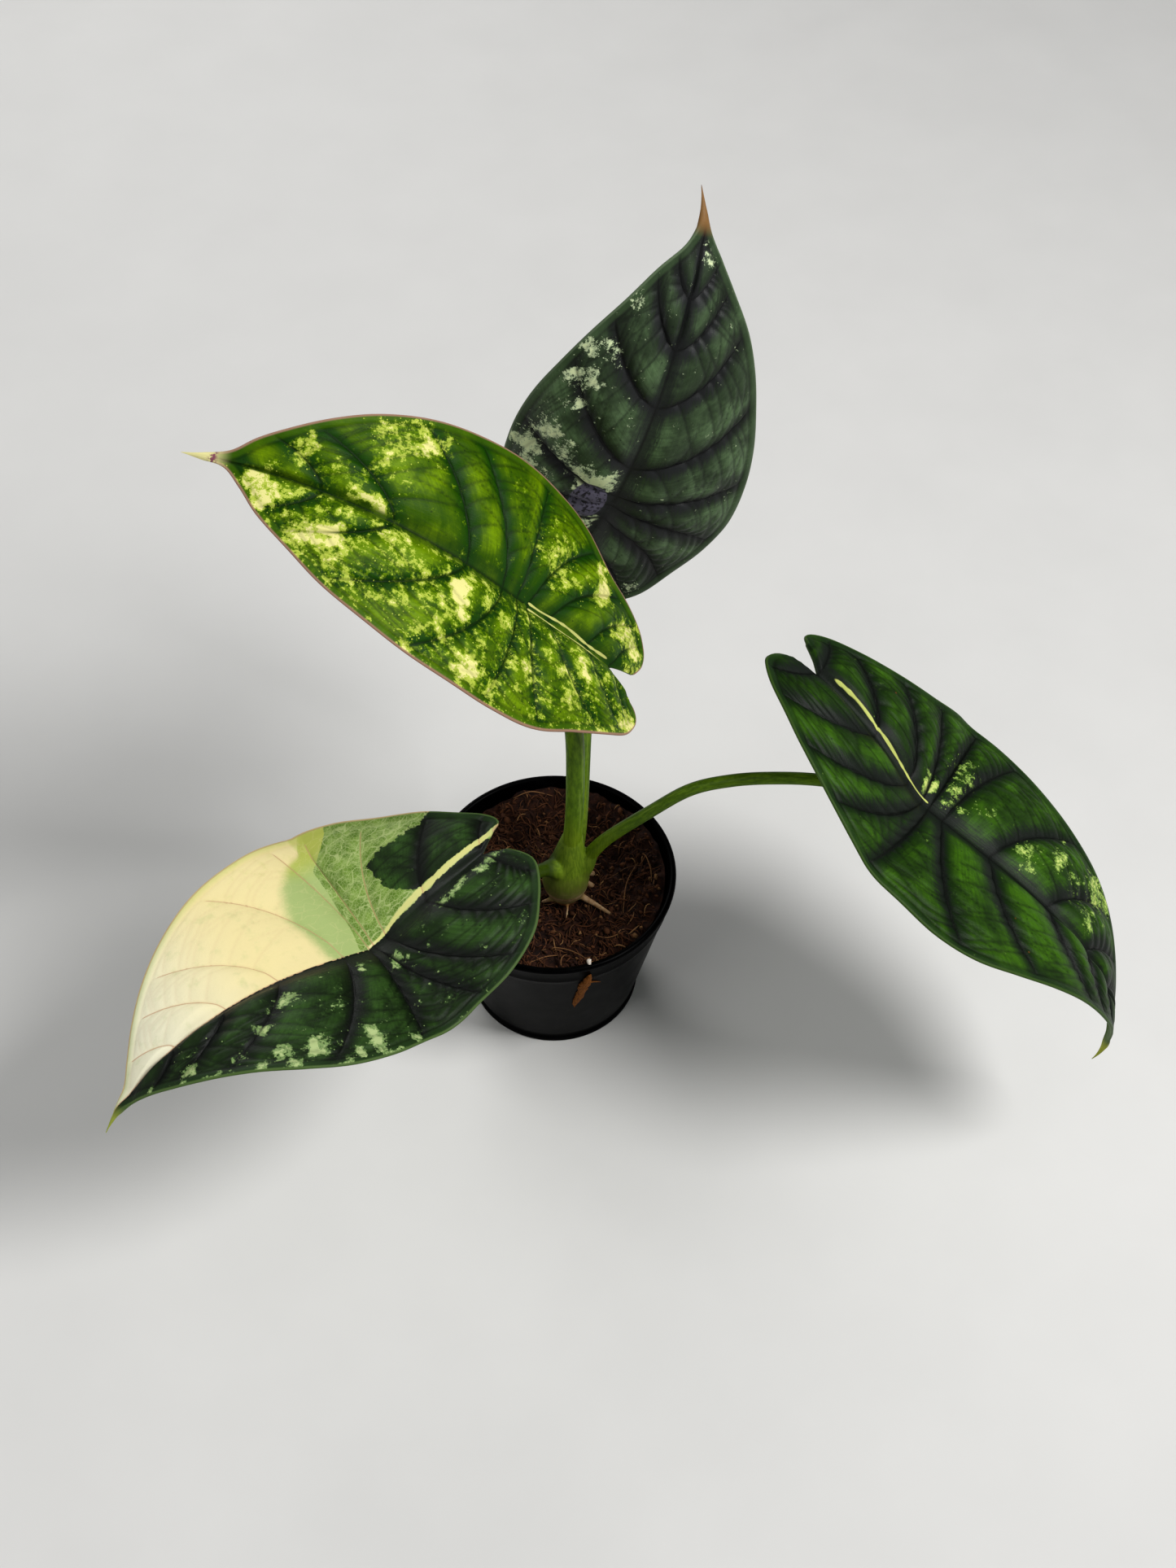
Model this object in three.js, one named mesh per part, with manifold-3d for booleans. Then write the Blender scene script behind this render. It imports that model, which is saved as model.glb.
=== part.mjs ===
// A potted variegated dragon scale alocasia: four quilted blades on arching
// petioles, a pale crown with stub roots, coir soil and a round nursery pot.
// Millimetres, +Z up, origin at the middle of the pot's flat underside.
import * as THREE from 'three';
import { mergeVertices } from 'three/addons/utils/BufferGeometryUtils.js';
import Module from 'manifold-3d';

const wasm = await Module();
wasm.setup();

// Pot
const POT_HEIGHT = 67;
const POT_BASE_R = 31.5;
const POT_SHOULDER_R = 42.8;
const POT_SHOULDER_Z = 57;
const POT_RIM_R = 45;
const POT_BEAD_R = 1.3;
const POT_WALL = 1.2;
const POT_FLOOR = 1.6;
const POT_FOOT_HEIGHT = 2.6;
const POT_FOOT_STEP = 0.6;
const POT_COLLAR_STEP = 0.5;
const POT_CHAMFER = 0.8;
const POT_SIDES = 48;
const DRAIN_HOLES = 8;
const DRAIN_R = 3;
const DRAIN_RING_R = 23;

// Soil
const SOIL_Z = 57;
const SOIL_BUMP = 1.3;
const SOIL_RINGS = 8;
const SOIL_SIDES = 40;
const FIBRES = 44;
const FIBRE_R = 0.6;
const CLODS = 26;

// Crown and the fits between the plant's pieces
const CROWN_X = 5;
const CROWN_Y = -4.5;
const CROWN_SIDES = 20;
const CROWN_PROFILE = [[0, 50], [3, 50], [4.2, 56], [6.2, 60], [7.6, 64], [8.1, 68], [7.8, 72],
  [6.8, 76], [0, 77.5]];
const GAP = 0.3;
const PETIOLE_SIDES = 10;
const PETIOLE_STEP = 6;

// Blades: thickness, relief and ribs, the same on all four
const BLADE_THICK = 0.9;
const QUILT_HEIGHT = 2.0;
const QUILT_WIDTH = 14;
const MIDRIB_SINK = 1.0;
const MIDRIB_DEPTH = 1.6;
const RIM_RISE = 0.5;
const SUB_ROWS = 3;
const ACROSS = [0, 0.06, 0.2, 0.38, 0.56, 0.74, 0.9, 1];

// Each blade lies in its own frame: x from the petiole junction to the tip,
// y to the left as seen from above, z out of the upper face. Angles are in
// degrees, lengths in mm. left and right are outlines from the tip to the lobe
// end, as [along, out]. veins are [base on the midrib, left end, right end].
const LEAVES = {
  1: {
    junction: [-8.6, 1.8, 207.7], tip: [-0.62, -0.11, 0.78], face: [0.77, -0.24, 0.59],
    length: 122, notch: 45, droop: 57, power: 1.35, kink: 8, lobeDroop: 19,
    lift: [9, 9], arch: [14, 14], twist: [-19, -13], bend: [-0.11, 0.04],
    left: [[122, 0], [115, 1], [108, 2], [102, 7], [94.5, 14], [82.5, 21.5], [70, 28.5],
      [55, 34], [39.5, 38.5], [23.5, 41], [8, 42.5], [-10, 41.5], [-25.5, 35.5],
      [-41.5, 28.5], [-52, 21.5], [-58, 14], [-57, 7]],
    right: [[122, 0], [115, 1], [107, 3.5], [100.5, 9], [93.5, 14], [81.5, 22], [69, 29],
      [53, 35.5], [35.5, 40], [15.5, 43.5], [-4, 44], [-20.5, 39.5], [-35.5, 30.5],
      [-48, 26], [-58, 21.5], [-63, 14], [-61, 6]],
    veins: [[78, 97, 97], [54, 90, 87], [26, 73, 57], [10, 43, 37], [3, 12, 0],
      [-2, -12, -29], [-12, -39, -47], [-31, -52, -57]],
  },
  2: {
    junction: [19.2, 51.2, 203.3], tip: [0.33, -0.1, 0.94], face: [-0.1, -0.99, -0.07],
    length: 114, notch: 43, droop: 45, power: 1.2, kink: -11, lobeDroop: -8,
    lift: [2, 2], arch: [36, 36], twist: [25, 9], bend: [0.19, 0.03],
    left: [[114.5, 0], [108.5, 1], [102.5, 2.5], [97, 6], [89, 13.5], [78.5, 20.5], [66, 28],
      [52.5, 34], [37, 39], [20.5, 41.5], [4, 41.5], [-12.5, 39.5], [-29, 34],
      [-43.5, 27], [-52.5, 18.5], [-58, 11.5], [-56, 5]],
    right: [[114.5, 0], [108.5, 1], [101.5, 3.5], [94, 9], [85, 16], [72.5, 25], [59, 31.5],
      [44.5, 36.5], [29, 41], [13.5, 43.5], [-2, 43.5], [-17.5, 39.5], [-31, 33],
      [-44.5, 27], [-52.5, 19.5], [-58, 12.5], [-56, 5]],
    veins: [[81, 95, 95], [64, 89, 87], [43, 74, 74], [17, 58, 48], [3, 23, 17],
      [-2, -14, -14], [-10, -33, -37], [-27, -51, -51]],
  },
  3: {
    junction: [-60, -67, 113], tip: [-0.71, -0.56, 0.42], face: [0.28, 0.33, 0.9],
    length: 112, notch: 52, droop: 78, power: 1.7, kink: 47, lobeDroop: 24,
    lift: [-2, 7], arch: [11, 0], twist: [7, 17], bend: [0, -0.25],
    left: [[112, 0], [105, 1], [98, 3.5], [91, 8], [84, 13.5], [75, 20], [63, 28],
      [50, 36], [36, 41.5], [20, 43], [4, 41.5], [-12, 40], [-28, 39],
      [-43, 34], [-53, 25], [-60, 15], [-59, 6]],
    right: [[112, 0], [105, 1], [97, 4], [91, 10], [82, 19], [71, 28], [57, 37],
      [41, 45], [25, 50], [9, 53], [-8, 52], [-22, 45], [-35, 35],
      [-48, 26], [-58, 18], [-63, 10], [-61, 4]],
    veins: [[76, 91, 92], [56, 84, 82], [36, 71, 71], [10, 43, 42], [-1, 6, 8],
      [-3, -18, -12], [-8, -36, -31], [-26, -52, -50]],
  },
  4: {
    junction: [128, -22, 134], tip: [0.79, -0.49, -0.36], face: [0.43, 0.02, 0.9],
    length: 126, notch: 60, droop: 91, power: 2.5, kink: 30, lobeDroop: 34,
    lift: [6, 6], arch: [11, 11], twist: [-2, -13], bend: [0.09, 0.4],
    left: [[126, 0], [118, 1.2], [110, 3], [101, 8], [91, 17], [80, 26], [66, 34.3],
      [52, 39.6], [38, 44], [22, 47.6], [5, 49], [-10, 46.5], [-26, 37],
      [-42, 29], [-56, 22.5], [-67, 17], [-71, 9]],
    right: [[126, 0], [118, 1.2], [110, 3], [101, 8], [89, 16], [76, 24], [64, 32],
      [50, 41], [36, 48], [21, 50], [5, 47.5], [-14, 45], [-30, 41],
      [-46, 35], [-60, 27], [-70, 16], [-69, 6]],
    veins: [[88, 102, 101], [72, 92, 91], [51, 78, 82], [25, 54, 58], [5, 20, 32],
      [-1, 0, -9], [-4, -22, -30], [-12, -40, -48], [-32, -60, -64]],
  },
};

// Petioles: centre line from the crown to the junction under the blade, with
// the radius at its foot, middle and top. The last point is the junction.
const PETIOLES = {
  1: {
    radii: [4.2, 3.4, 2.6],
    path: [[5, -5, 70], [5.9, -5, 83], [7.3, -5, 102], [7.7, -4.5, 125], [7.1, -3.5, 151],
      [3.5, 1.5, 170], [-3, 6, 187], [-6.3, 4.2, 198]],
  },
  2: {
    radii: [3.6, 2.9, 2.2],
    path: [[6.5, -1, 70], [7.8, 1, 79], [9, 5.5, 90], [9.7, 15, 101], [10.4, 31, 114],
      [11.8, 49, 127.5], [13, 61, 139.5], [13.9, 66.8, 152], [14.3, 68.3, 170],
      [14.6, 65.5, 186], [16.9, 57.5, 196]],
  },
  3: {
    radii: [2.8, 2.4, 2.2],
    path: [[4, -5.5, 74], [-1.3, -10.1, 81.5], [-11, -19.6, 89], [-22, -30.2, 94.5],
      [-36, -44, 99], [-50, -58, 103]],
  },
  4: {
    radii: [3.6, 2.3, 2.1],
    path: [[6, -4.5, 70], [10.2, -4.8, 77], [18.2, -5.8, 93], [34.5, -8.3, 114],
      [47.4, -10.2, 128.5], [61, -12.2, 136.2], [75, -14.1, 140.2], [90, -16.3, 142.2],
      [106, -18.7, 140.8], [118, -20.5, 136]],
  },
};

// Stub roots on the crown: start, bend and end on the soil, with the radius
const ROOTS = [
  { r: 1.1, path: [[9, -3, 64], [12, -2, 61.5], [14.5, -2.5, 58.5]] },
  { r: 1.0, path: [[9, -1, 65], [12.5, 1.5, 63], [15, 3, 59]] },
  { r: 1.2, path: [[8, -6, 61], [14, -9, 59.6], [21.5, -12.7, 57]] },
  { r: 1.0, path: [[2, -8, 61], [-1.5, -8.5, 60], [-4.5, -7.5, 57]] },
  { r: 0.8, path: [[5, -9, 61], [5.2, -12, 59.6], [4.8, -15.5, 57]] },
];

const COLOURS = {
  pot: 0x0a0a0b, soil: 0x2c1710, crown: 0xb9c489, petiole: 0x6f9a3c,
  blades: { 1: 0x6e9a1c, 2: 0x1f3327, 3: 0xa9b86a, 4: 0x24491f },
};

const clamp01 = (x) => Math.min(1, Math.max(0, x));
const smooth = (x) => clamp01(x) ** 2 * (3 - 2 * clamp01(x));
const deg = THREE.MathUtils.degToRad;

// A seeded generator, so that every run gives the same soil
function randoms(seed) {
  let state = seed;
  return () => {
    state = (state * 1664525 + 1013904223) % 4294967296;
    return state / 4294967296;
  };
}

// Booleans

function solidOf(geometry) {
  const bare = geometry.clone();
  bare.deleteAttribute('normal');
  bare.deleteAttribute('uv');
  const merged = mergeVertices(bare, 1e-4);
  const triangles = [];
  for (let i = 0; i < merged.index.count; i += 3) {
    const [a, b, c] = [0, 1, 2].map((k) => merged.index.getX(i + k));
    if (a !== b && b !== c && c !== a) triangles.push(a, b, c);
  }
  return new wasm.Manifold(new wasm.Mesh({
    numProp: 3,
    vertProperties: new Float32Array(merged.attributes.position.array),
    triVerts: new Uint32Array(triangles),
  }));
}

function geometryOf(solid) {
  const mesh = solid.getMesh();
  const geometry = new THREE.BufferGeometry();
  geometry.setAttribute('position', new THREE.BufferAttribute(mesh.vertProperties, 3));
  geometry.setIndex(new THREE.BufferAttribute(mesh.triVerts, 1));
  return geometry;
}

// Cutting can leave scraps, and only the largest body is the piece
function largest(solid) {
  return solid.decompose().reduce((a, b) => (b.volume() > a.volume() ? b : a));
}

// Blades

// Angle of the midrib below its direction at the junction, at a signed
// distance from the junction given as a share of the blade's length
function midribAngle(leaf, share) {
  const far = Math.abs(share);
  if (share >= 0) return deg(leaf.droop) * far ** leaf.power;
  return (deg(leaf.lobeDroop) * far) / 0.5 - deg(leaf.kink) * Math.min(1, far / 0.08);
}

// The blade's smooth sheet, before any relief: bent along the midrib, lifted
// and arched across it, twisted about it and bent sideways
function sheetPoint(leaf, along, out) {
  const u = along / leaf.length;
  const v = out / leaf.length;
  const steps = 24;
  let x = 0;
  let z = 0;
  for (let i = 0; i < steps; i += 1) {
    const angle = midribAngle(leaf, (u * (i + 0.5)) / steps);
    x += (Math.cos(angle) * u) / steps;
    z -= (Math.sin(angle) * Math.abs(u)) / steps;
  }
  const end = -Math.sign(u) * midribAngle(leaf, u);
  const side = out > 0 ? 0 : 1;
  const lift = deg(leaf.lift[side]);
  const curl = Math.max(deg(leaf.arch[side]), 1e-4) / 0.4;
  const flat = Math.abs(v);
  const y = (Math.sign(v) * (Math.sin(lift) - Math.sin(lift - curl * flat))) / curl;
  const rise = (Math.cos(lift - curl * flat) - Math.cos(lift)) / curl;
  const turn = deg(leaf.twist[0]) * u + deg(leaf.twist[1]) * u * u;
  const y2 = y * Math.cos(turn) - rise * Math.sin(turn);
  const rise2 = y * Math.sin(turn) + rise * Math.cos(turn);
  const sway = (u >= 0 ? leaf.bend[0] : leaf.bend[1]) * u;
  return new THREE.Vector3(
    x - Math.sin(end) * rise2 - sway * y2,
    y2 + (sway * u) / 2,
    z + Math.cos(end) * rise2,
  ).multiplyScalar(leaf.length);
}

// Upward normal of the sheet; on the midrib it is the mean of both sides
function sheetNormal(leaf, along, out) {
  const e = 0.5;
  const [low, high] = Math.abs(out) < e ? [-e, e] : [out - e, out + e];
  const du = sheetPoint(leaf, along + e, out).sub(sheetPoint(leaf, along - e, out));
  const dv = sheetPoint(leaf, along, high).sub(sheetPoint(leaf, along, low));
  return du.cross(dv).normalize();
}

// A point between the midrib, b = 0, and the margin, b = 1: a curve that leaves
// the midrib squarely and then sweeps along with the margin
function rowPoint(row, b) {
  const reach = row.margin.clone().sub(row.spine);
  const knee = new THREE.Vector2(row.spine.x + 0.22 * reach.x, row.spine.y + 0.62 * reach.y);
  return row.spine.clone().multiplyScalar((1 - b) ** 2)
    .add(knee.multiplyScalar(2 * b * (1 - b)))
    .add(row.margin.clone().multiplyScalar(b * b));
}

// Rows across one half of the blade, from the tip to the lobe's end, so that
// every vein is a row of its own and the tissue between two veins has two more
function bladeRows(leaf, side) {
  const outline = new THREE.SplineCurve(leaf[side].map(([a, b]) => new THREE.Vector2(a, b)));
  const spans = leaf[side].length - 1;
  const atAlong = (along) => {
    let [low, high] = [0, (spans - 1) / spans];
    for (let i = 0; i < 30; i += 1) {
      const mid = (low + high) / 2;
      [low, high] = outline.getPoint(mid).x > along ? [mid, high] : [low, mid];
    }
    return low;
  };
  const end = side === 'left' ? 1 : 2;
  const lobeEnd = outline.getPoint(1);
  const station = (x, t, vein) => ({
    spine: new THREE.Vector2(x, 0), margin: outline.getPoint(t), t, vein,
  });
  const stations = [
    station(leaf.length, 0, false),
    station(leaf.length * 0.93, atAlong(leaf.length * 0.935), false),
    station(leaf.length * 0.84, atAlong(leaf.length * 0.87), false),
    ...leaf.veins.map((vein) => station(vein[0], atAlong(vein[end]), true)),
    station(-leaf.notch, 1 - 0.9 / spans, true),
    { ...station(-leaf.notch, 1, false), spine: lobeEnd },
  ];
  const rows = [];
  for (let k = 0; k < stations.length - 1; k += 1) {
    const [a, b] = [stations[k], stations[k + 1]];
    const lobe = k === stations.length - 2;
    const count = a.vein && !lobe ? SUB_ROWS : 2;
    for (let j = 0; j < count; j += 1) {
      const f = j / count;
      rows.push({
        spine: a.spine.clone().lerp(b.spine, f),
        margin: outline.getPoint(THREE.MathUtils.lerp(a.t, b.t, f)),
        between: [a, b],
        puff: a.vein || b.vein ? Math.sin(Math.PI * f) ** 0.7 : 0,
        seam: lobe ? 1 - smooth(2 * f) : 1,
      });
    }
  }
  rows.push({ spine: lobeEnd, margin: lobeEnd, puff: 0, seam: 0, closed: true });
  return rows;
}

// Height of the upper face over the smooth sheet: puffed between the veins,
// sunk along the midrib and turned up at the rim
function relief(leaf, row, b, along) {
  const fade = clamp01((leaf.length * 0.97 - along) / (leaf.length * 0.4));
  const sink = MIDRIB_SINK * row.seam * (1 - smooth(b / 0.14)) * fade;
  const rim = RIM_RISE * smooth((b - 0.9) / 0.1) * fade;
  if (row.puff === 0) return rim - sink;
  const width = rowPoint(row.between[0], b).distanceTo(rowPoint(row.between[1], b));
  const room = clamp01(width / QUILT_WIDTH) * smooth(b / 0.25) * (1 - b ** 5);
  return QUILT_HEIGHT * row.puff * room * fade ** 0.7 - sink + rim;
}

// Thickness below the upper face, with the midrib standing out underneath
function depth(leaf, row, b, along) {
  const taper = along > 0 ? 1 - along / leaf.length : 1 + along / leaf.notch;
  return BLADE_THICK + MIDRIB_DEPTH * (1 - smooth(b / 0.12)) * clamp01(taper);
}

// The blade as one closed body, with both faces moved outward by grow
function bladeGeometry(leaf, grow = 0) {
  const points = [];
  const triangles = [];
  const quad = (a, b, c, d) => triangles.push(a, b, c, a, c, d);
  const add = (p) => points.push(p.x, p.y, p.z) / 3 - 1;
  const last = ACROSS.length - 1;
  for (const side of ['left', 'right']) {
    const sign = side === 'left' ? 1 : -1;
    const rows = bladeRows(leaf, side);
    const [top, bottom] = [[], []];
    for (const row of rows) {
      const [upper, lower] = [[], []];
      for (const across of ACROSS) {
        const b = row.closed ? 1 : across;
        const flat = rowPoint(row, b);
        const normal = sheetNormal(leaf, flat.x, sign * flat.y);
        const point = sheetPoint(leaf, flat.x, sign * flat.y);
        const high = relief(leaf, row, b, flat.x);
        const low = high - depth(leaf, row, b, flat.x);
        upper.push(add(point.clone().addScaledVector(normal, high + grow)));
        lower.push(add(point.clone().addScaledVector(normal, low - grow)));
      }
      top.push(upper);
      bottom.push(lower);
    }
    const wall = (j, i, turn) => {
      const [a, b] = turn > 0 ? [i + 1, i] : [i, i + 1];
      quad(top[a][j], top[b][j], bottom[b][j], bottom[a][j]);
    };
    for (let i = 0; i < rows.length - 1; i += 1) {
      const [a, b] = sign > 0 ? [i + 1, i] : [i, i + 1];
      for (let j = 0; j < last; j += 1) {
        quad(top[a][j], top[b][j], top[b][j + 1], top[a][j + 1]);
        quad(bottom[a][j], bottom[a][j + 1], bottom[b][j + 1], bottom[b][j]);
      }
      wall(last, i, sign);
      if (rows[i].spine.x <= -leaf.notch) wall(0, i, -sign);
    }
  }
  const geometry = new THREE.BufferGeometry();
  geometry.setAttribute('position', new THREE.Float32BufferAttribute(points, 3));
  geometry.setIndex(triangles);
  return geometry;
}

// Turns the blade's own frame into the plant's
function bladeFrame(leaf) {
  const x = new THREE.Vector3(...leaf.tip).normalize();
  const face = new THREE.Vector3(...leaf.face);
  const z = face.addScaledVector(x, -face.dot(x)).normalize();
  const y = z.clone().cross(x);
  return new THREE.Matrix4().makeBasis(x, y, z).setPosition(...leaf.junction);
}

// Stems and roots

// A round tube along a smooth path, its radius going through the given values
function taperedTube(path, radii, sides, step, grow = 0) {
  const curve = new THREE.CatmullRomCurve3(path.map((p) => new THREE.Vector3(...p)));
  const steps = Math.max(2, Math.round(curve.getLength() / step));
  const ring = Array.from({ length: sides }, (_, i) => {
    const angle = (2 * Math.PI * i) / sides;
    return new THREE.Vector2(Math.cos(angle), Math.sin(angle));
  });
  const tube = new THREE.ExtrudeGeometry(new THREE.Shape(ring), {
    steps, extrudePath: curve, bevelEnabled: false,
  });
  const centres = curve.getSpacedPoints(steps);
  const spans = radii.length - 1;
  const place = tube.attributes.position;
  const point = new THREE.Vector3();
  for (let i = 0; i < place.count; i += 1) {
    point.fromBufferAttribute(place, i);
    const near = centres.reduce((best, c, k) => (
      c.distanceTo(point) < centres[best].distanceTo(point) ? k : best), 0);
    const at = (near / steps) * spans;
    const low = Math.min(Math.floor(at), spans - 1);
    const radius = THREE.MathUtils.lerp(radii[low], radii[low + 1], at - low) + grow;
    point.sub(centres[near]).multiplyScalar(radius).add(centres[near]);
    place.setXYZ(i, point.x, point.y, point.z);
  }
  return tube;
}

function petiole(key, grow = 0) {
  const { path, radii } = PETIOLES[key];
  const whole = [...path, LEAVES[key].junction];
  return solidOf(taperedTube(whole, radii, PETIOLE_SIDES, PETIOLE_STEP, grow));
}

// The swollen base of the plant, half in the soil, with its stub roots
function crownBody(grow = 0) {
  const profile = CROWN_PROFILE.map(([r, z], i) => new THREE.Vector2(
    r + (r > 0 ? grow : 0), z + (i < 2 ? -grow : 0) + (i > CROWN_PROFILE.length - 3 ? grow : 0),
  ));
  const bulb = new THREE.LatheGeometry(profile, CROWN_SIDES);
  bulb.rotateX(Math.PI / 2);
  bulb.translate(CROWN_X, CROWN_Y, 0);
  return ROOTS.reduce((body, root) => body.add(
    solidOf(taperedTube(root.path, [root.r, root.r * 0.6], 6, 4, grow)),
  ), solidOf(bulb));
}

// Pot and soil

// A body turned about the pot's axis from a profile of [radius, height]
function turned(profile, sides) {
  const body = new THREE.LatheGeometry(profile.map(([r, z]) => new THREE.Vector2(r, z)), sides);
  return body.rotateX(Math.PI / 2);
}

const potOuter = (z) => THREE.MathUtils.mapLinear(
  z, POT_FOOT_HEIGHT, POT_SHOULDER_Z, POT_BASE_R, POT_SHOULDER_R);
const potInner = (z) => potOuter(z) - POT_WALL;

function potBody() {
  const beadZ = POT_HEIGHT - POT_BEAD_R;
  const beadX = POT_RIM_R - POT_BEAD_R;
  const bead = [-120, -70, -20, 30, 80, 130].map((a) => [
    beadX + POT_BEAD_R * Math.cos(deg(a)), beadZ + POT_BEAD_R * Math.sin(deg(a)),
  ]);
  const foot = POT_BASE_R + POT_FOOT_STEP;
  const collar = POT_SHOULDER_R + POT_COLLAR_STEP;
  const collarZ = POT_SHOULDER_Z + POT_CHAMFER;
  const shell = turned([
    [0, 0], [foot - POT_CHAMFER, 0], [foot, POT_CHAMFER], [foot, POT_FOOT_HEIGHT],
    [POT_BASE_R, POT_FOOT_HEIGHT + POT_FOOT_STEP],
    [POT_SHOULDER_R, POT_SHOULDER_Z], [collar, collarZ],
    ...bead,
    [collar - POT_WALL, beadZ - POT_BEAD_R], [collar - POT_WALL, collarZ],
    [potInner(POT_SHOULDER_Z), POT_SHOULDER_Z], [potInner(POT_FLOOR), POT_FLOOR], [0, POT_FLOOR],
  ], POT_SIDES);
  let body = solidOf(shell);
  for (let i = 0; i < DRAIN_HOLES; i += 1) {
    const angle = (2 * Math.PI * i) / DRAIN_HOLES;
    const drill = new THREE.CylinderGeometry(DRAIN_R, DRAIN_R, POT_FLOOR * 3, 12);
    drill.rotateX(Math.PI / 2);
    drill.translate(DRAIN_RING_R * Math.cos(angle), DRAIN_RING_R * Math.sin(angle), POT_FLOOR / 2);
    body = body.subtract(solidOf(drill));
  }
  return body;
}

// Height of the loose surface over its mean level
function bump(x, y) {
  return SOIL_BUMP * (0.45 * Math.sin(0.31 * x + 1.1) * Math.cos(0.27 * y)
    + 0.35 * Math.sin(0.62 * x - 0.45 * y + 2) + 0.3 * Math.cos(0.5 * x + 0.83 * y));
}

function soilBody() {
  const bottom = POT_FLOOR + GAP;
  const edge = potInner(SOIL_Z) - GAP;
  const rings = Array.from({ length: SOIL_RINGS }, (_, i) => (
    [edge * (1 - (i + 1) / SOIL_RINGS), SOIL_Z]));
  const fill = turned([
    [0, bottom], [potInner(bottom) - GAP, bottom], [edge, SOIL_Z - 0.6], ...rings,
  ], SOIL_SIDES);
  const place = fill.attributes.position;
  for (let i = 0; i < place.count; i += 1) {
    const [x, y, z] = [place.getX(i), place.getY(i), place.getZ(i)];
    if (z > SOIL_Z - 0.1) place.setZ(i, z + bump(x, y));
  }
  const random = randoms(7);
  let body = solidOf(fill);
  const spot = () => {
    const r = (edge - 7) * Math.sqrt(random());
    const angle = 2 * Math.PI * random();
    return new THREE.Vector3(r * Math.cos(angle), r * Math.sin(angle), SOIL_Z);
  };
  for (let i = 0; i < FIBRES; i += 1) {
    const middle = spot();
    const angle = 2 * Math.PI * random();
    const half = 3 + 3.5 * random();
    const reach = new THREE.Vector3(half * Math.cos(angle), half * Math.sin(angle), 0);
    const ends = [middle.clone().sub(reach), middle.clone().add(reach)];
    const crest = middle.clone().setZ(SOIL_Z + bump(middle.x, middle.y) + 0.5 + 1.2 * random());
    const path = [ends[0], crest, ends[1]].map((p) => p.toArray());
    path[0][2] += bump(path[0][0], path[0][1]) - 0.8;
    path[2][2] += bump(path[2][0], path[2][1]) - 0.8;
    body = body.add(solidOf(taperedTube(path, [FIBRE_R, FIBRE_R * 0.8], 3, half)));
  }
  for (let i = 0; i < CLODS; i += 1) {
    const middle = spot();
    const size = 1.2 + 1.4 * random();
    const clod = new THREE.OctahedronGeometry(size, 0);
    clod.rotateX(random() * Math.PI);
    clod.rotateY(random() * Math.PI);
    clod.scale(1.3, 1, 0.8);
    clod.translate(middle.x, middle.y, SOIL_Z + bump(middle.x, middle.y) - 0.1 * size);
    body = body.add(solidOf(clod));
  }
  return largest(body.subtract(crownBody(GAP)));
}

// Assembly

function meshOf(name, geometry, colour, roughness) {
  const material = new THREE.MeshStandardMaterial({ color: colour, roughness, metalness: 0 });
  const mesh = new THREE.Mesh(geometry, material);
  mesh.name = name;
  return mesh;
}

const keys = Object.keys(LEAVES);
const group = new THREE.Group();
group.add(meshOf('pot', geometryOf(potBody()), COLOURS.pot, 0.3));
group.add(meshOf('soil', geometryOf(soilBody()), COLOURS.soil, 0.95));

let crown = crownBody();
const placedStems = [];
for (const key of keys) {
  let stem = petiole(key);
  for (const other of placedStems) stem = stem.subtract(petiole(other, GAP));
  const blade = bladeGeometry(LEAVES[key], GAP).applyMatrix4(bladeFrame(LEAVES[key]));
  stem = largest(stem.subtract(solidOf(blade)));
  crown = crown.subtract(petiole(key, GAP));
  placedStems.push(key);
  group.add(meshOf(`petiole_${key}`, geometryOf(stem), COLOURS.petiole, 0.45));
}
group.add(meshOf('crown', geometryOf(largest(crown)), COLOURS.crown, 0.5));

for (const key of keys) {
  const blade = meshOf(`leaf_${key}`, bladeGeometry(LEAVES[key]), COLOURS.blades[key], 0.4);
  blade.applyMatrix4(bladeFrame(LEAVES[key]));
  group.add(blade);
}

export default group;
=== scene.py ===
import math

import bmesh
import bpy
import numpy as np
from mathutils import Matrix, Vector, noise


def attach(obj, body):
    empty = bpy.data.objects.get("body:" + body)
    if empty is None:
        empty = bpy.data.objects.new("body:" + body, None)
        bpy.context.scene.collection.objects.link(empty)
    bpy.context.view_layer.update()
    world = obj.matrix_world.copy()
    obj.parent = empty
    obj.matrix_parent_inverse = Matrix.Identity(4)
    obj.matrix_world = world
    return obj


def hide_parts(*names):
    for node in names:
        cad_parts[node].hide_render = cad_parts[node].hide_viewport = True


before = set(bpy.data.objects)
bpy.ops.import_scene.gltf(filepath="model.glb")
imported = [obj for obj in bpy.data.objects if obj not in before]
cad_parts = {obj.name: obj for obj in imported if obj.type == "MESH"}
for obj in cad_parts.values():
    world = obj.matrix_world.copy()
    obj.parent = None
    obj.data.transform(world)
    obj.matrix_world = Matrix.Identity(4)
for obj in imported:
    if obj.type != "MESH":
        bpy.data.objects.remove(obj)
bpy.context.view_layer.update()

MM = 0.001
# Points this close, in metres, are one point
SAME_PLACE = 1e-6

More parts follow.
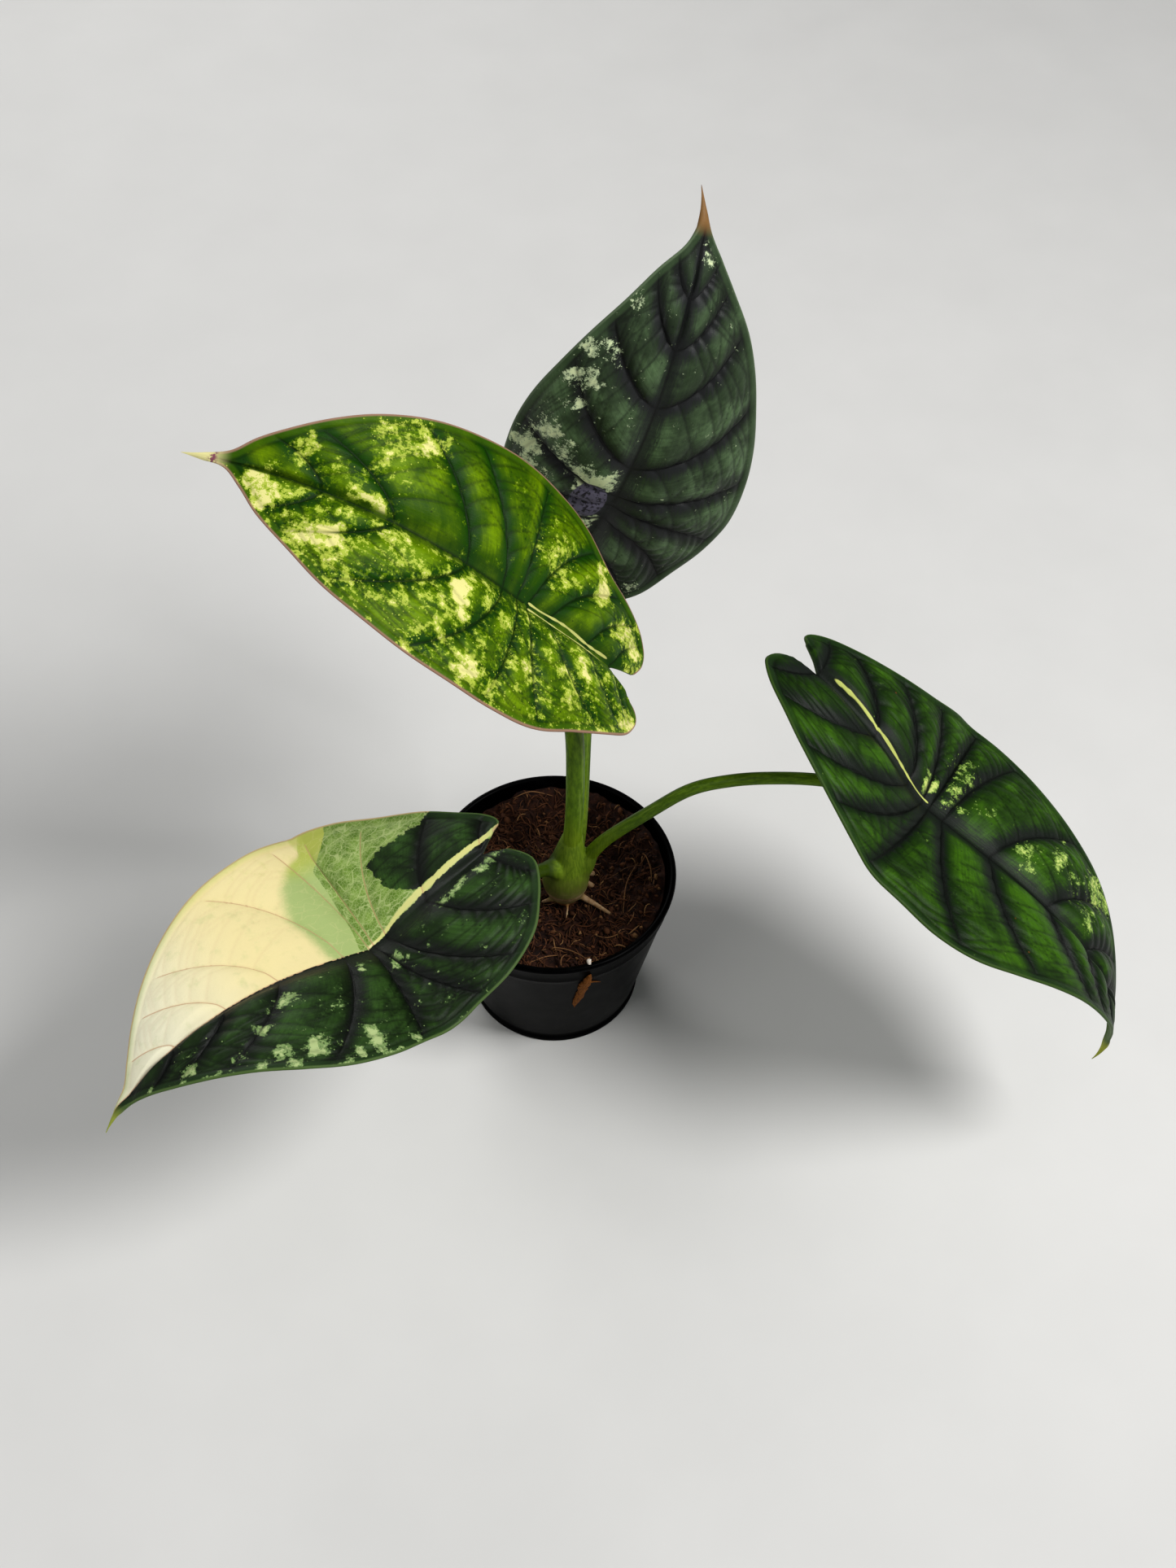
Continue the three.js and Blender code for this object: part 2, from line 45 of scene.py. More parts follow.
# Blades, in mm and degrees. Each lies in its own frame: x from the petiole junction to
# the tip, y to the left as seen from above, z out of the upper face. The midrib droops
# by "droop" on its way to the tip, the later the higher "power" is, turns by "kink" at
# the junction and droops by "lobe_droop" in the lobes. The left and right halves rise
# from it by "lift" and bend down by "arch". "twist" turns the blade about its midrib and
# "bend" sways it sideways, and "hook" bends the tip aside.
# The outlines run from the tip to the lobe end as (along, out), and the last three
# points turn the corner of the lobe. A vein is (base on the midrib, left end, right
# end), each as a distance along the blade.
LEAVES = {
    1: dict(
        junction=(-8.6, 1.8, 207.7), tip=(-0.62, -0.11, 0.78), face=(0.77, -0.24, 0.59),
        length=122, notch=45, droop=57, power=1.35, kink=8, lobe_droop=19,
        lift=(9, 9), arch=(14, 14), twist=(-19, -13), bend=(-0.11, 0.04),
        left=[(122, 0), (115, 1), (108, 2), (102, 7), (94.5, 14), (82.5, 21.5), (70, 28.5),
              (55, 34), (39.5, 38.5), (23.5, 41), (8, 42.5), (-10, 41.5), (-25.5, 35.5),
              (-41.5, 28.5), (-51.5, 23.5), (-57, 18.5), (-59.5, 14), (-58.5, 10.5), (-55.5, 8.8)],
        right=[(122, 0), (115, 1), (107, 3.5), (100.5, 9), (93.5, 14), (81.5, 22), (69, 29),
               (53, 35.5), (35.5, 40), (15.5, 43.5), (-4, 44), (-20.5, 39.5), (-35.5, 30.5),
               (-48, 26), (-57, 21.5), (-61.5, 17), (-63.2, 13), (-62.2, 8.5), (-58.5, 4)],
        veins=[(78, 97, 97), (54, 90, 87), (26, 73, 57), (10, 43, 37), (3, 12, 0),
               (-2, -12, -29), (-12, -39, -47), (-31, -52, -57)]),
    2: dict(
        junction=(19.2, 51.2, 203.3), tip=(0.33, -0.1, 0.94), face=(-0.1, -0.99, -0.07),
        length=114, notch=43, droop=45, power=1.2, kink=-11, lobe_droop=-8,
        lift=(2, 2), arch=(36, 36), twist=(25, 9), bend=(0.19, 0.03), hook=0.9,
        left=[(114.5, 0), (108.5, 1), (102.5, 2.5), (97, 6), (89, 13.5), (78.5, 20.5), (66, 28),
              (52.5, 34), (37, 39), (20.5, 41.5), (4, 41.5), (-12.5, 39.5), (-29, 34),
              (-43.5, 27), (-52.5, 18.8), (-57, 13.5), (-58.7, 9.8), (-57.6, 6.4), (-54, 4)],
        right=[(114.5, 0), (108.5, 1), (101.5, 3.5), (94, 9), (85, 16), (72.5, 25), (59, 31.5),
               (44.5, 36.5), (29, 41), (13.5, 43.5), (-2, 43.5), (-17.5, 39.5), (-31, 33),
               (-44.5, 27), (-52.5, 19.8), (-57, 14.5), (-58.9, 10.2), (-57.8, 6.4), (-54, 4)],
        veins=[(81, 95, 95), (64, 89, 87), (43, 74, 74), (17, 58, 48), (3, 23, 17),
               (-2, -14, -14), (-10, -33, -37), (-27, -51, -51)]),
    3: dict(
        junction=(-60, -67, 113), tip=(-0.71, -0.56, 0.42), face=(0.28, 0.33, 0.9),
        length=112, notch=52, droop=78, power=1.7, kink=47, lobe_droop=24,
        lift=(-2, 7), arch=(11, 0), twist=(7, 17), bend=(0, -0.25),
        left=[(112, 0), (105, 1), (98, 3.5), (91, 8), (84, 13.5), (75, 20), (63, 28),
              (50, 36), (36, 41.5), (20, 43), (4, 41.5), (-12, 40), (-28, 39),
              (-43, 34), (-53, 26), (-59.5, 19), (-62.3, 14), (-61.6, 9.5), (-59, 4.5)],
        right=[(112, 0), (105, 1), (97, 4), (91, 10), (82, 19), (71, 28), (57, 37),
               (41, 45), (25, 50), (9, 53), (-8, 52), (-22, 45), (-35, 35),
               (-48, 26), (-57, 17.5), (-63, 11.5), (-65.3, 7.5), (-64.6, 5), (-61, 3.8)],
        veins=[(76, 91, 92), (56, 84, 82), (36, 71, 71), (10, 43, 42), (-1, 6, 8),
               (-3, -18, -12), (-8, -36, -31), (-26, -52, -50)]),
    4: dict(
        junction=(128, -22, 134), tip=(0.79, -0.49, -0.36), face=(0.43, 0.02, 0.9),
        length=126, notch=60, droop=91, power=2.5, kink=30, lobe_droop=34,
        lift=(6, 6), arch=(11, 11), twist=(-2, -13), bend=(0.09, 0.4),
        left=[(126, 0), (118, 1.2), (110, 3), (101, 8), (91, 17), (80, 26), (66, 34.3),
              (52, 39.6), (38, 44), (22, 47.6), (5, 49), (-10, 46.5), (-26, 37),
              (-42, 29), (-56, 22.5), (-67, 17), (-72.5, 12.5), (-73.4, 9), (-71, 6.8)],
        right=[(126, 0), (118, 1.2), (110, 3), (101, 8), (89, 16), (76, 24), (64, 32),
               (50, 41), (36, 48), (21, 50), (5, 47.5), (-14, 45), (-30, 41),
               (-46, 35), (-58, 28.5), (-66, 23.5), (-71.3, 18.5), (-73.6, 14.5), (-73.3, 9.5),
               (-70.5, 5.2)],
        veins=[(88, 102, 101), (72, 92, 91), (51, 78, 82), (25, 54, 58), (5, 20, 32),
               (-1, 0, -9), (-4, -22, -30), (-12, -40, -48), (-32, -60, -64)]),
}
# Shares of a blade's length: those over which the kink, the lobes' droop and the arch
# are stated, and those from which the hook and the rolled drip tip begin
KINK_SPAN = 0.08
LOBE_SPAN = 0.5
ARCH_SPAN = 0.4
HOOK_FROM = 0.82
TIP_FROM = 0.86
# The length in mm over which the tip gets rolled, and the steps that sum the midrib up
TIP_ROLL = 9
MIDRIB_STEPS = 24
# How far along and how far out the knee of a lateral lies between its two ends
VEIN_KNEE = (0.22, 0.62)
# Rows without a vein ahead of the first lateral: shares of the length at the midrib and
# at the margin
AHEAD_ROWS = ((0.93, 0.935), (0.84, 0.87))

# The blades' relief, in mm
BLADE_THICK = 0.9
QUILT_HEIGHT = {1: 2.0, 2: 2.5, 3: 2.0, 4: 2.4}
QUILT_WIDTH = 14
MIDRIB_SINK = 1.0
MIDRIB_DEPTH = 1.6
LATERAL_DEPTH = 0.5
RIM_RISE = 0.5
RIM_WIDTH = 2.8
RIM_GROOVE = 0.35
# How far the dark band reaches from each lateral
BAND_WIDTH = {1: 2.7, 2: 4.5, 3: 4.2, 4: 6.5}
# The forks of a panel leave its two laterals, 0 and 1: (lateral, share of the way out
# where they begin, how many, how far across the panel they may stop)
FORKS = ((0, 0.17, 7, (0.6, 0.95)), (1, 0.3, 5, (0.4, 0.62)))
FORK_SPACING = 0.79
FORK_WIDTH = 0.42
FURROW_WIDTH = 1.1
FORK_DEPTH = {1: 0.35, 2: 0.45, 3: 0.4, 4: 0.35}
# The share of its furrows that the ivory half of blade 3 keeps
IVORY_SMOOTH = 0.3
# A distance that counts as no vein near
NO_VEIN = 99

# Rows in a panel and in a blade's end, columns from the midrib to the margin, and how
# much closer the rows are set at the veins and the columns at both ends
PANEL_ROWS = 26
END_ROWS = 12
COLUMNS = 84
ROW_BUNCHING = 0.45
COLUMN_BUNCHING = 0.07

# Petioles: centre line from the crown to the junction, with the radius at its
# foot, middle and top
PETIOLES = {
    1: dict(radii=(4.4, 3.2, 2.6), path=[
        (5, -5, 70), (5.9, -5, 83), (7.3, -5, 102), (7.7, -4.5, 125), (7.1, -3.5, 151),
        (3.5, 1.5, 170), (-3, 6, 187), (-6.3, 4.2, 198)]),
    2: dict(radii=(3.6, 2.9, 2.2), path=[
        (6.5, -1, 70), (7.8, 1, 79), (9, 5.5, 90), (9.7, 15, 101), (10.4, 31, 114),
        (11.8, 49, 127.5), (13, 61, 139.5), (13.9, 66.8, 152), (14.3, 68.3, 170),
        (14.6, 65.5, 186), (16.9, 57.5, 196)]),
    3: dict(radii=(2.8, 2.4, 2.2), path=[
        (4, -5.5, 74), (-1.3, -10.1, 81.5), (-11, -19.6, 89), (-22, -30.2, 94.5),
        (-36, -44, 99), (-50, -58, 103)]),
    4: dict(radii=(3.7, 2.2, 2.1), path=[
        (6, -4.5, 70), (10.2, -4.8, 77), (18.2, -5.8, 93), (34.5, -8.3, 114),
        (47.4, -10.2, 128.5), (61, -12.2, 136.2), (75, -14.1, 140.2), (90, -16.3, 142.2),
        (106, -18.7, 140.8), (118, -20.5, 136)]),
}

# How far under the junction a petiole ends, and the length over which its foot narrows
PETIOLE_END = 3.1
FOOT_FLARE = 13
# How much of each petiole has grown together with the crown
FOOT_LENGTH = {1: 27, 2: 24, 3: 17, 4: 21}
# How much wider each foot is where it leaves the crown
FOOT_SWELL = {1: 0, 2: 0, 3: 1.3, 4: 1.7}

# Crown: its middle, and (radius, height) up its side. It leans by so many mm to the
# right for each mm above a height, and is remeshed with this voxel and softened
CROWN_AT = (4.4, -4.5)
CROWN_PROFILE = [(3, 50), (4.2, 56), (6.1, 60), (7.8, 64), (8.6, 68), (8.4, 72), (7.5, 76),
                 (6.2, 81), (5, 87), (3.6, 94)]
CROWN_BOTTOM = 50
CROWN_TOP = 95
CROWN_LEAN = 0.095
CROWN_LEAN_FROM = 68
CROWN_VOXEL = 0.42
CROWN_SOFTENING = 11
# Roots: (radius at the crown, radius at the end, centre line)
ROOTS = [
    (1.2, 1.1, [(9, -3, 64), (12, -2, 62), (14.6, -2.3, 60.2)]),
    (1.2, 1.1, [(9, -1, 65), (12.5, 1.2, 63.6), (14.8, 2.4, 61.6)]),
    (1.5, 0.7, [(8, -6, 61), (14, -9, 59.6), (21.5, -12.7, 57)]),
    (1.3, 0.6, [(2, -8, 61), (-1.5, -8.5, 60), (-4.5, -7.5, 57)]),
    (0.8, 0.4, [(5, -9, 61), (5.2, -12, 59.6), (4.8, -15.5, 57)]),
]

# Points on a tube's curve, and the sides and rings of the tubes
CURVE_POINTS = 400
PETIOLE_MESH = (36, 170)
FOOT_MESH = (28, 30)
ROOT_MESH = (14, 24)
CROWN_SIDES = 64

# Pot and soil
POT_HEIGHT = 67
POT_BASE_R = 31.5
POT_SHOULDER_R = 42.8
POT_SHOULDER_Z = 57
POT_RIM_R = 45
POT_BEAD_R = 1.3
POT_WALL = 1.2
POT_FLOOR = 1.6
POT_FOOT_HEIGHT = 2.6
POT_FOOT_STEP = 0.6
POT_COLLAR_STEP = 0.5
POT_CHAMFER = 0.8
POT_FILLET = 0.6
POT_SIDES = 168
DRAIN_HOLES = 8
DRAIN_R = 3
DRAIN_RING_R = 23
SOIL_Z = 57
SOIL_GAP = 0.3
SOIL_BUMP = 1.3
SOIL_RINGS = 92
SOIL_SIDES = 220
CRUMB_HEIGHT = 0.75
# How high the soil is heaped up at the wall, and in which direction, in degrees
HEAP = 7
HEAP_TURN = 50

# Loose strands and crumbs: how many, which of them are long or large, and how far from
# the middle they may lie
STRANDS = 1250
LONG_EVERY = 28
STRAND_LIMIT = 40.4
CRUMBS = 620
LARGE_EVERY = 9
CRUMB_LIMIT = 40.2

# Rows down the bark strip and columns across it
BARK_ROWS = 45
BARK_COLUMNS = 9


# Small helpers

def clamp01(x):
    return np.clip(x, 0, 1)


def smooth(x):
    return clamp01(x) ** 2 * (3 - 2 * clamp01(x))


def spline(points, count):
    """A uniform Catmull-Rom curve through points, at evenly spaced parameters."""
    points = np.array(points, float)
    return spline_at(points, np.linspace(0, len(points) - 1, count))


def spline_at(points, t):
    """The points of that curve at the parameters t, which count from 0 in points."""
    points = np.array(points, float)
    last = len(points) - 1
    i = np.minimum(np.asarray(t).astype(int), last - 1)
    w = (t - i)[:, None]
    before = points[np.maximum(i - 1, 0)]
    a, b = points[i], points[i + 1]
    after = points[np.minimum(i + 2, last)]
    slope_a, slope_b = (b - before) / 2, (after - a) / 2
    return ((2 * a - 2 * b + slope_a + slope_b) * w ** 3
            + (3 * b - 3 * a - 2 * slope_a - slope_b) * w ** 2 + slope_a * w + a)


def length_along(line):
    """The length of a polyline up to each of its points."""
    return np.concatenate([[0], np.linalg.norm(np.diff(line, axis=0), axis=1).cumsum()])


def distance_to(points, line):
    """Distance from each 2-D point to a polyline."""
    shape = points.shape[:-1]
    flat = points.reshape(-1, 1, 2)
    a, b = line[:-1], line[1:]
    step = b - a
    t = ((flat - a) * step).sum(-1) / np.maximum((step * step).sum(-1), 1e-9)
    near = a + clamp01(t)[..., None] * step
    return np.sqrt(((flat - near) ** 2).sum(-1).min(-1)).reshape(shape)


def add_mesh(name, vertices, faces, **values):
    """A clean mesh from vertices in mm, with named vectors kept at its vertices."""
    mesh = bpy.data.meshes.new(name)
    mesh.from_pydata((np.asarray(vertices, float) * MM).tolist(), [], faces)
    for key, value in values.items():
        layer = mesh.attributes.new(key, "FLOAT_VECTOR", "POINT")
        layer.data.foreach_set("vector", np.asarray(value, np.float32).ravel())
    clean = bmesh.new()
    clean.from_mesh(mesh)
    bmesh.ops.remove_doubles(clean, verts=clean.verts, dist=SAME_PLACE)
    bmesh.ops.dissolve_degenerate(clean, edges=clean.edges, dist=SAME_PLACE)
    bmesh.ops.recalc_face_normals(clean, faces=clean.faces)
    clean.to_mesh(mesh)
    clean.free()
    mesh.polygons.foreach_set("use_smooth", [True] * len(mesh.polygons))
    piece = bpy.data.objects.new(name, mesh)
    bpy.context.scene.collection.objects.link(piece)
    return piece


def quads(index):
    """The four-sided faces of a grid of vertex numbers."""
    corners = (index[:-1, :-1], index[1:, :-1], index[1:, 1:], index[:-1, 1:])
    return np.stack(corners, -1).reshape(-1, 4).tolist()


def skin(rings, first, last):
    """The faces of a closed body: rings of vertex numbers between two end points."""
    rings = np.concatenate([rings, rings[:, :1]], 1)
    faces = quads(rings)
    for i in range(rings.shape[1] - 1):
        faces.append([first, rings[0, i + 1], rings[0, i]])
        faces.append([last, rings[-1, i], rings[-1, i + 1]])
    return faces


def merged(shapes):
    """Many shapes as one: their vertices, their faces and each shape's own vector at
    its vertices."""
    vertices, faces, values = [], [], []
    count = 0
    for points, corners, own in shapes:
        vertices.append(points)
        faces += [[corner + count for corner in face] for face in corners]
        values.append(np.tile(own, (len(points), 1)))
        count += len(points)
    return np.concatenate(vertices), faces, np.concatenate(values)


def ball(subdivisions):
    """A faceted ball of radius 1: its vertices and faces."""
    round_mesh = bmesh.new()
    bmesh.ops.create_icosphere(round_mesh, subdivisions=subdivisions, radius=1)
    shape = np.array([v.co for v in round_mesh.verts])
    faces = [[v.index for v in f.verts] for f in round_mesh.faces]
    round_mesh.free()
    return shape, faces


def place(piece, material, slot, *nodes):
    """Gives a piece its finish and its part in the frame."""
    piece.data.materials.clear()
    piece.data.materials.append(material)
    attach(piece, "root")
    if nodes:
        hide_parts(*nodes)


# Blade shape

def midrib_angle(leaf, share):
    """How steeply the midrib runs at a share of the blade's length from the junction,
    below 0 in the lobes."""
    far = np.abs(share)
    ahead = math.radians(leaf["droop"]) * far ** leaf["power"]
    kink = math.radians(leaf["kink"]) * np.minimum(1, far / KINK_SPAN)
    behind = math.radians(leaf["lobe_droop"]) * far / LOBE_SPAN - kink
    return np.where(share >= 0, ahead, behind)


def sheet(leaf, along, out):
    """The blade's smooth sheet, before any relief, in its own frame."""
    length = leaf["length"]
    u, v = along / length, out / length
    steps = (np.arange(MIDRIB_STEPS) + 0.5) / MIDRIB_STEPS
    angles = midrib_angle(leaf, u[..., None] * steps)
    x = np.cos(angles).mean(-1) * u
    z = -np.sin(angles).mean(-1) * np.abs(u)
    end = -np.sign(u) * midrib_angle(leaf, u)
    y, rise = cross_section(leaf, v)
    turn = math.radians(leaf["twist"][0]) * u + math.radians(leaf["twist"][1]) * u * u
    across = y * np.cos(turn) - rise * np.sin(turn)
    above = y * np.sin(turn) + rise * np.cos(turn)
    sway = np.where(u >= 0, leaf["bend"][0], leaf["bend"][1]) * u
    aside = sway * u / 2 + leaf.get("hook", 0) * np.maximum(u - HOOK_FROM, 0) ** 2
    return length * np.stack([
        x - np.sin(end) * above - sway * across, across + aside, z + np.cos(end) * above], -1)


def cross_section(leaf, v):
    """How far out and how high the sheet lies v lengths to the left of the midrib."""
    lift = np.radians(np.where(v > 0, leaf["lift"][0], leaf["lift"][1]))
    arch = np.radians(np.where(v > 0, leaf["arch"][0], leaf["arch"][1]))
    curl = np.maximum(arch, 1e-4) / ARCH_SPAN
    bent = lift - curl * np.abs(v)
    return (np.sign(v) * (np.sin(lift) - np.sin(bent)) / curl,
            (np.cos(bent) - np.cos(lift)) / curl)


def sheet_normal(leaf, along, out):
    """The sheet's upward normal, from its slopes in both directions."""
    step = 0.5
    on_rib = np.abs(out) < step
    low, high = np.where(on_rib, -step, out - step), np.where(on_rib, step, out + step)
    du = sheet(leaf, along + step, out) - sheet(leaf, along - step, out)
    dv = sheet(leaf, along, high) - sheet(leaf, along, low)
    normal = np.cross(du, dv)
    return normal / np.linalg.norm(normal, axis=-1, keepdims=True)


def row_points(spine, margin, b):
    """Curves from the midrib, b = 0, to the margin, b = 1."""
    reach = margin - spine
    knee = spine + reach * np.array(VEIN_KNEE)
    b = b[None, :, None]
    return ((1 - b) ** 2 * spine[:, None] + 2 * b * (1 - b) * knee[:, None]
            + b * b * margin[:, None])


def stations(leaf, side):
    """The outline and the rows that part two panels: (spine, outline parameter, is a
    vein)."""
    outline = np.array(leaf[side], float)
    spans = len(outline) - 1
    corner = spans - 3
    t = np.linspace(0, corner, 4000)
    along = spline_at(outline, t)[:, 0]

    def at(value):
        return t[np.argmax(along <= value)]

    length, notch = leaf["length"], leaf["notch"]
    end = 1 if side == "left" else 2
    rows = [((length, 0), 0, False)]
    rows += [((length * rib, 0), at(length * rim), False) for rib, rim in AHEAD_ROWS]
    rows += [((vein[0], 0), at(vein[end]), True) for vein in leaf["veins"]]
    rows += [((-notch, 0), corner + 0.1, True), (tuple(outline[-1]), spans, False)]
    return outline, rows


def panel_grid(outline, across, number, a, b, last):
    """The grid rows between the stations a and b. The last panel is the lobe's end and
    keeps its last row too."""
    count = PANEL_ROWS if a[2] and not last else END_ROWS
    share = np.arange(count + last) / count
    share = share - ROW_BUNCHING * np.sin(2 * np.pi * share) / (2 * np.pi)
    mix = share[:, None]
    spine = np.array(a[0]) * (1 - mix) + np.array(b[0]) * mix
    margin = spline_at(outline, a[1] * (1 - share) + b[1] * share)
    points = row_points(spine, margin, across)
    edges = [row_points(np.array([r[0]], float), spline_at(outline, np.array([r[1]], float)),
                        np.linspace(0, 1, 24))[0] for r in (a, b)]
    gap_a, gap_b = [distance_to(points, edge) for edge in edges]
    flags = dict(vein_a=a[2], vein_b=b[2], panel=number, lobe=last)
    flags = {key: np.full(points.shape[:2], value) for key, value in flags.items()}
    return dict(flags, points=points, share=np.repeat(mix, COLUMNS, 1), gap_a=gap_a, gap_b=gap_b)


def ladder(leaf, side):
    """One half of the blade as a grid: rows along the veins, columns across.
    Returns the grid points and, for each, what the relief and colours need."""
    outline, rows = stations(leaf, side)
    t = np.linspace(0, 1, COLUMNS)
    across = t - COLUMN_BUNCHING * np.sin(2 * np.pi * t)
    last = len(rows) - 2
    parts = [panel_grid(outline, across, k, rows[k], rows[k + 1], k == last)
             for k in range(last + 1)]
    grid = {key: np.concatenate([p[key] for p in parts]) for key in parts[0]}
    grid["across"] = np.repeat(across[None], len(grid["points"]), 0)
    steps = np.linalg.norm(np.diff(grid["points"], axis=1), axis=-1)
    grid["run"] = np.concatenate([np.zeros((len(steps), 1)), steps.cumsum(1)], 1)
    grid["rim"] = distance_to(grid["points"], spline(outline, 300))
    return grid


def lateral_gap(grid):
    """Distance to the nearer lateral. A side of a panel that is no vein counts as far."""
    return np.minimum(np.where(grid["vein_a"], grid["gap_a"], NO_VEIN),
                      np.where(grid["vein_b"], grid["gap_b"], NO_VEIN))


def second_veins(grid, seed):
    """Fine veins inside the panels: forks that leave a lateral and bow to the margin.
    Returns the thin lines and the wider furrows that they lie in."""
    random = np.random.default_rng(seed)
    line, furrow = np.zeros(grid["share"].shape), np.zeros(grid["share"].shape)
    for panel in np.unique(grid["panel"]):
        rows = ((grid["panel"] == panel) & grid["vein_a"] & ~grid["lobe"])[:, 0]
        if rows.any():
            draw_forks(grid, rows, random, line, furrow)
    inside = smooth((grid["rim"] - RIM_WIDTH) / 1.5) * smooth(grid["run"] / 6)
    return line * inside, furrow * inside


def draw_forks(grid, rows, random, line, furrow):
    """Adds the forks of one panel, which has these rows, to line and furrow."""
    length = grid["run"][rows, -1:]
    width = np.maximum(grid["gap_a"][rows] + grid["gap_b"][rows], 3)
    reach = length.mean()
    for lateral, start, count, stops in FORKS:
        f = np.abs(lateral - grid["share"][rows]).clip(1e-3, 1)
        for s in reach * (1 - (1 - start) * FORK_SPACING ** np.arange(count)):
            s += random.uniform(-0.03, 0.03) * reach
            bow, power = random.uniform(7, 12), random.uniform(0.55, 0.8)
            stop = random.uniform(*stops)
            off = grid["run"][rows] * reach / length - s - bow * f ** power
            slope = bow * power * f ** (power - 1) / width
            near = off / np.sqrt(1 + slope ** 2)
            fade = 1 - smooth((f - stop) / 0.2)
            line[rows] = np.maximum(line[rows], fade * np.exp(-(near / FORK_WIDTH) ** 2))
            furrow[rows] = np.maximum(furrow[rows], fade * np.exp(-(near / FURROW_WIDTH) ** 2))


def relief(number, grid, furrow):
    """Height of the upper face over the sheet, in mm."""
    along, across, length = grid["points"][..., 0], grid["across"], LEAVES[number]["length"]
    fade = clamp01((length * 0.97 - along) / (length * 0.4))
    seam = np.where(grid["lobe"], 1 - smooth(2 * grid["share"]), 1)
    sink = MIDRIB_SINK * seam * (1 - smooth(across / 0.14)) * fade
    rim = RIM_RISE * smooth((across - 0.9) / 0.1) * fade
    puff = np.where(grid["vein_a"] | grid["vein_b"],
                    np.sin(np.pi * clamp01(grid["share"]) ** 1.15) ** 0.62, 0)
    width = grid["gap_a"] + grid["gap_b"]
    room = clamp01(width / QUILT_WIDTH) * smooth(across / 0.25) * (1 - across ** 5)
    quilt = QUILT_HEIGHT[number] * puff * room * fade ** 0.7
    groove = np.exp(-((grid["rim"] - RIM_WIDTH) / 0.8) ** 2) * fade * smooth(across / 0.1)
    return quilt - sink + rim - FORK_DEPTH[number] * furrow - RIM_GROOVE * groove


def depth(leaf, grid):
    """Thickness below the upper face, with the ribs that stand out underneath."""
    along = grid["points"][..., 0]
    across = grid["across"]
    taper = np.where(along > 0, 1 - along / leaf["length"], 1 + along / leaf["notch"])
    rib = MIDRIB_DEPTH * (1 - smooth(across / 0.12)) * clamp01(taper)
    lateral = LATERAL_DEPTH * np.exp(-(lateral_gap(grid) / 0.9) ** 2)
    lateral = lateral * (1 - across) ** 0.5 * smooth(across / 0.1)
    return BLADE_THICK + np.maximum(rib, lateral)


def blade_basis(leaf):
    """The blade's x, y and z axes as rows."""
    x = Vector(leaf["tip"]).normalized()
    face = Vector(leaf["face"])
    z = (face - face.dot(x) * x).normalized()
    return np.array([x, z.cross(x), z])


def half_faces(grid, offset):
    """The faces of one half: its upper and lower sides, its margin and, in the lobe, its
    edge along the notch. The vertices are numbered from offset."""
    rows, columns = grid["share"].shape
    above = np.arange(rows * columns).reshape(rows, columns) + offset
    below = above + rows * columns
    margin = np.arange(rows) + offset + 2 * rows * columns
    seam = int(np.argmax(grid["lobe"][:, 0]))
    return (quads(above) + quads(below)
            + quads(np.stack([above[:, -1], margin, below[:, -1]], 1))
            + quads(np.stack([above[seam:, 0], below[seam:, 0]], 1)))


def build_blade(number):
    """A finely divided blade with its coordinates kept for the colours."""
    leaf = LEAVES[number]
    points, faces, values = [], [], []
    for side, sign in (("left", 1), ("right", -1)):
        grid = ladder(leaf, side)
        arcs, furrow = second_veins(grid, seed=number * 10 + (sign > 0))
        if number == 3 and side == "right":
            furrow = furrow * IVORY_SMOOTH
        faces += half_faces(grid, sum(len(part) for part in points))
        upper, lower, edge = blade_faces(number, grid, furrow, sign)
        points += [upper.reshape(-1, 3), lower.reshape(-1, 3), edge]
        for under, kept in ((0, slice(None)), (1, slice(None)), (0, slice(-1, None))):
            here = blade_values(number, grid, arcs, sign, under)
            values.append(here[:, kept].reshape(-1, 4, 3))
    points = np.concatenate(points) @ blade_basis(leaf) + np.array(leaf["junction"])
    values = np.concatenate(values)
    return add_mesh(f"blade_{number}", points, faces, leaf=values[:, 0], vein=values[:, 1],
                    panel=values[:, 2], tone=values[:, 3])


def drip_tip(leaf, along, out):
    """How far the tip is rolled into a round spike, and half the spike's height."""
    widths = [np.interp(along, np.array(leaf[side])[::-1, 0], np.array(leaf[side])[::-1, 1])
              for side in ("left", "right")]
    width = np.maximum(np.minimum(*widths), 0.1)
    rolled = smooth((along - leaf["length"] * TIP_FROM) / TIP_ROLL)
    return rolled, np.maximum(0.75 * width * np.sqrt(1 - clamp01(np.abs(out) / width) ** 2), 0.15)


def blade_faces(number, grid, furrow, sign):
    """The upper face, the lower face and the margin between them."""
    leaf = LEAVES[number]
    along, out = grid["points"][..., 0], sign * grid["points"][..., 1]
    base, normal = sheet(leaf, along, out), sheet_normal(leaf, along, out)
    high = relief(number, grid, furrow)
    low = high - depth(leaf, grid)
    rolled, half = drip_tip(leaf, along, out)
    upper = base + normal * (high + rolled * (half - high))[..., None]
    lower = base + normal * (low - rolled * (half + low))[..., None]
    outward = base[:, -1] - base[:, -2]
    outward /= np.maximum(np.linalg.norm(outward, axis=-1, keepdims=True), 1e-6)
    edge = (upper[:, -1] + lower[:, -1]) / 2 + 0.3 * outward
    # The last row is the end of the lobe, where all its points meet
    upper[-1], lower[-1] = upper[-1].mean(0), lower[-1].mean(0)
    edge[-1] = upper[-1, 0]
    return upper, lower, edge


def blade_values(number, grid, arcs, sign, under):
    """What the colours need at each grid point, as four vectors."""
    along, out = grid["points"][..., 0], sign * grid["points"][..., 1]
    where = np.stack([along, out, grid["rim"]], -1)
    veins = vein_values(number, grid, arcs, under)
    return np.stack([where, veins, panel_values(grid, sign), tone_values(number, grid, sign)], 2)


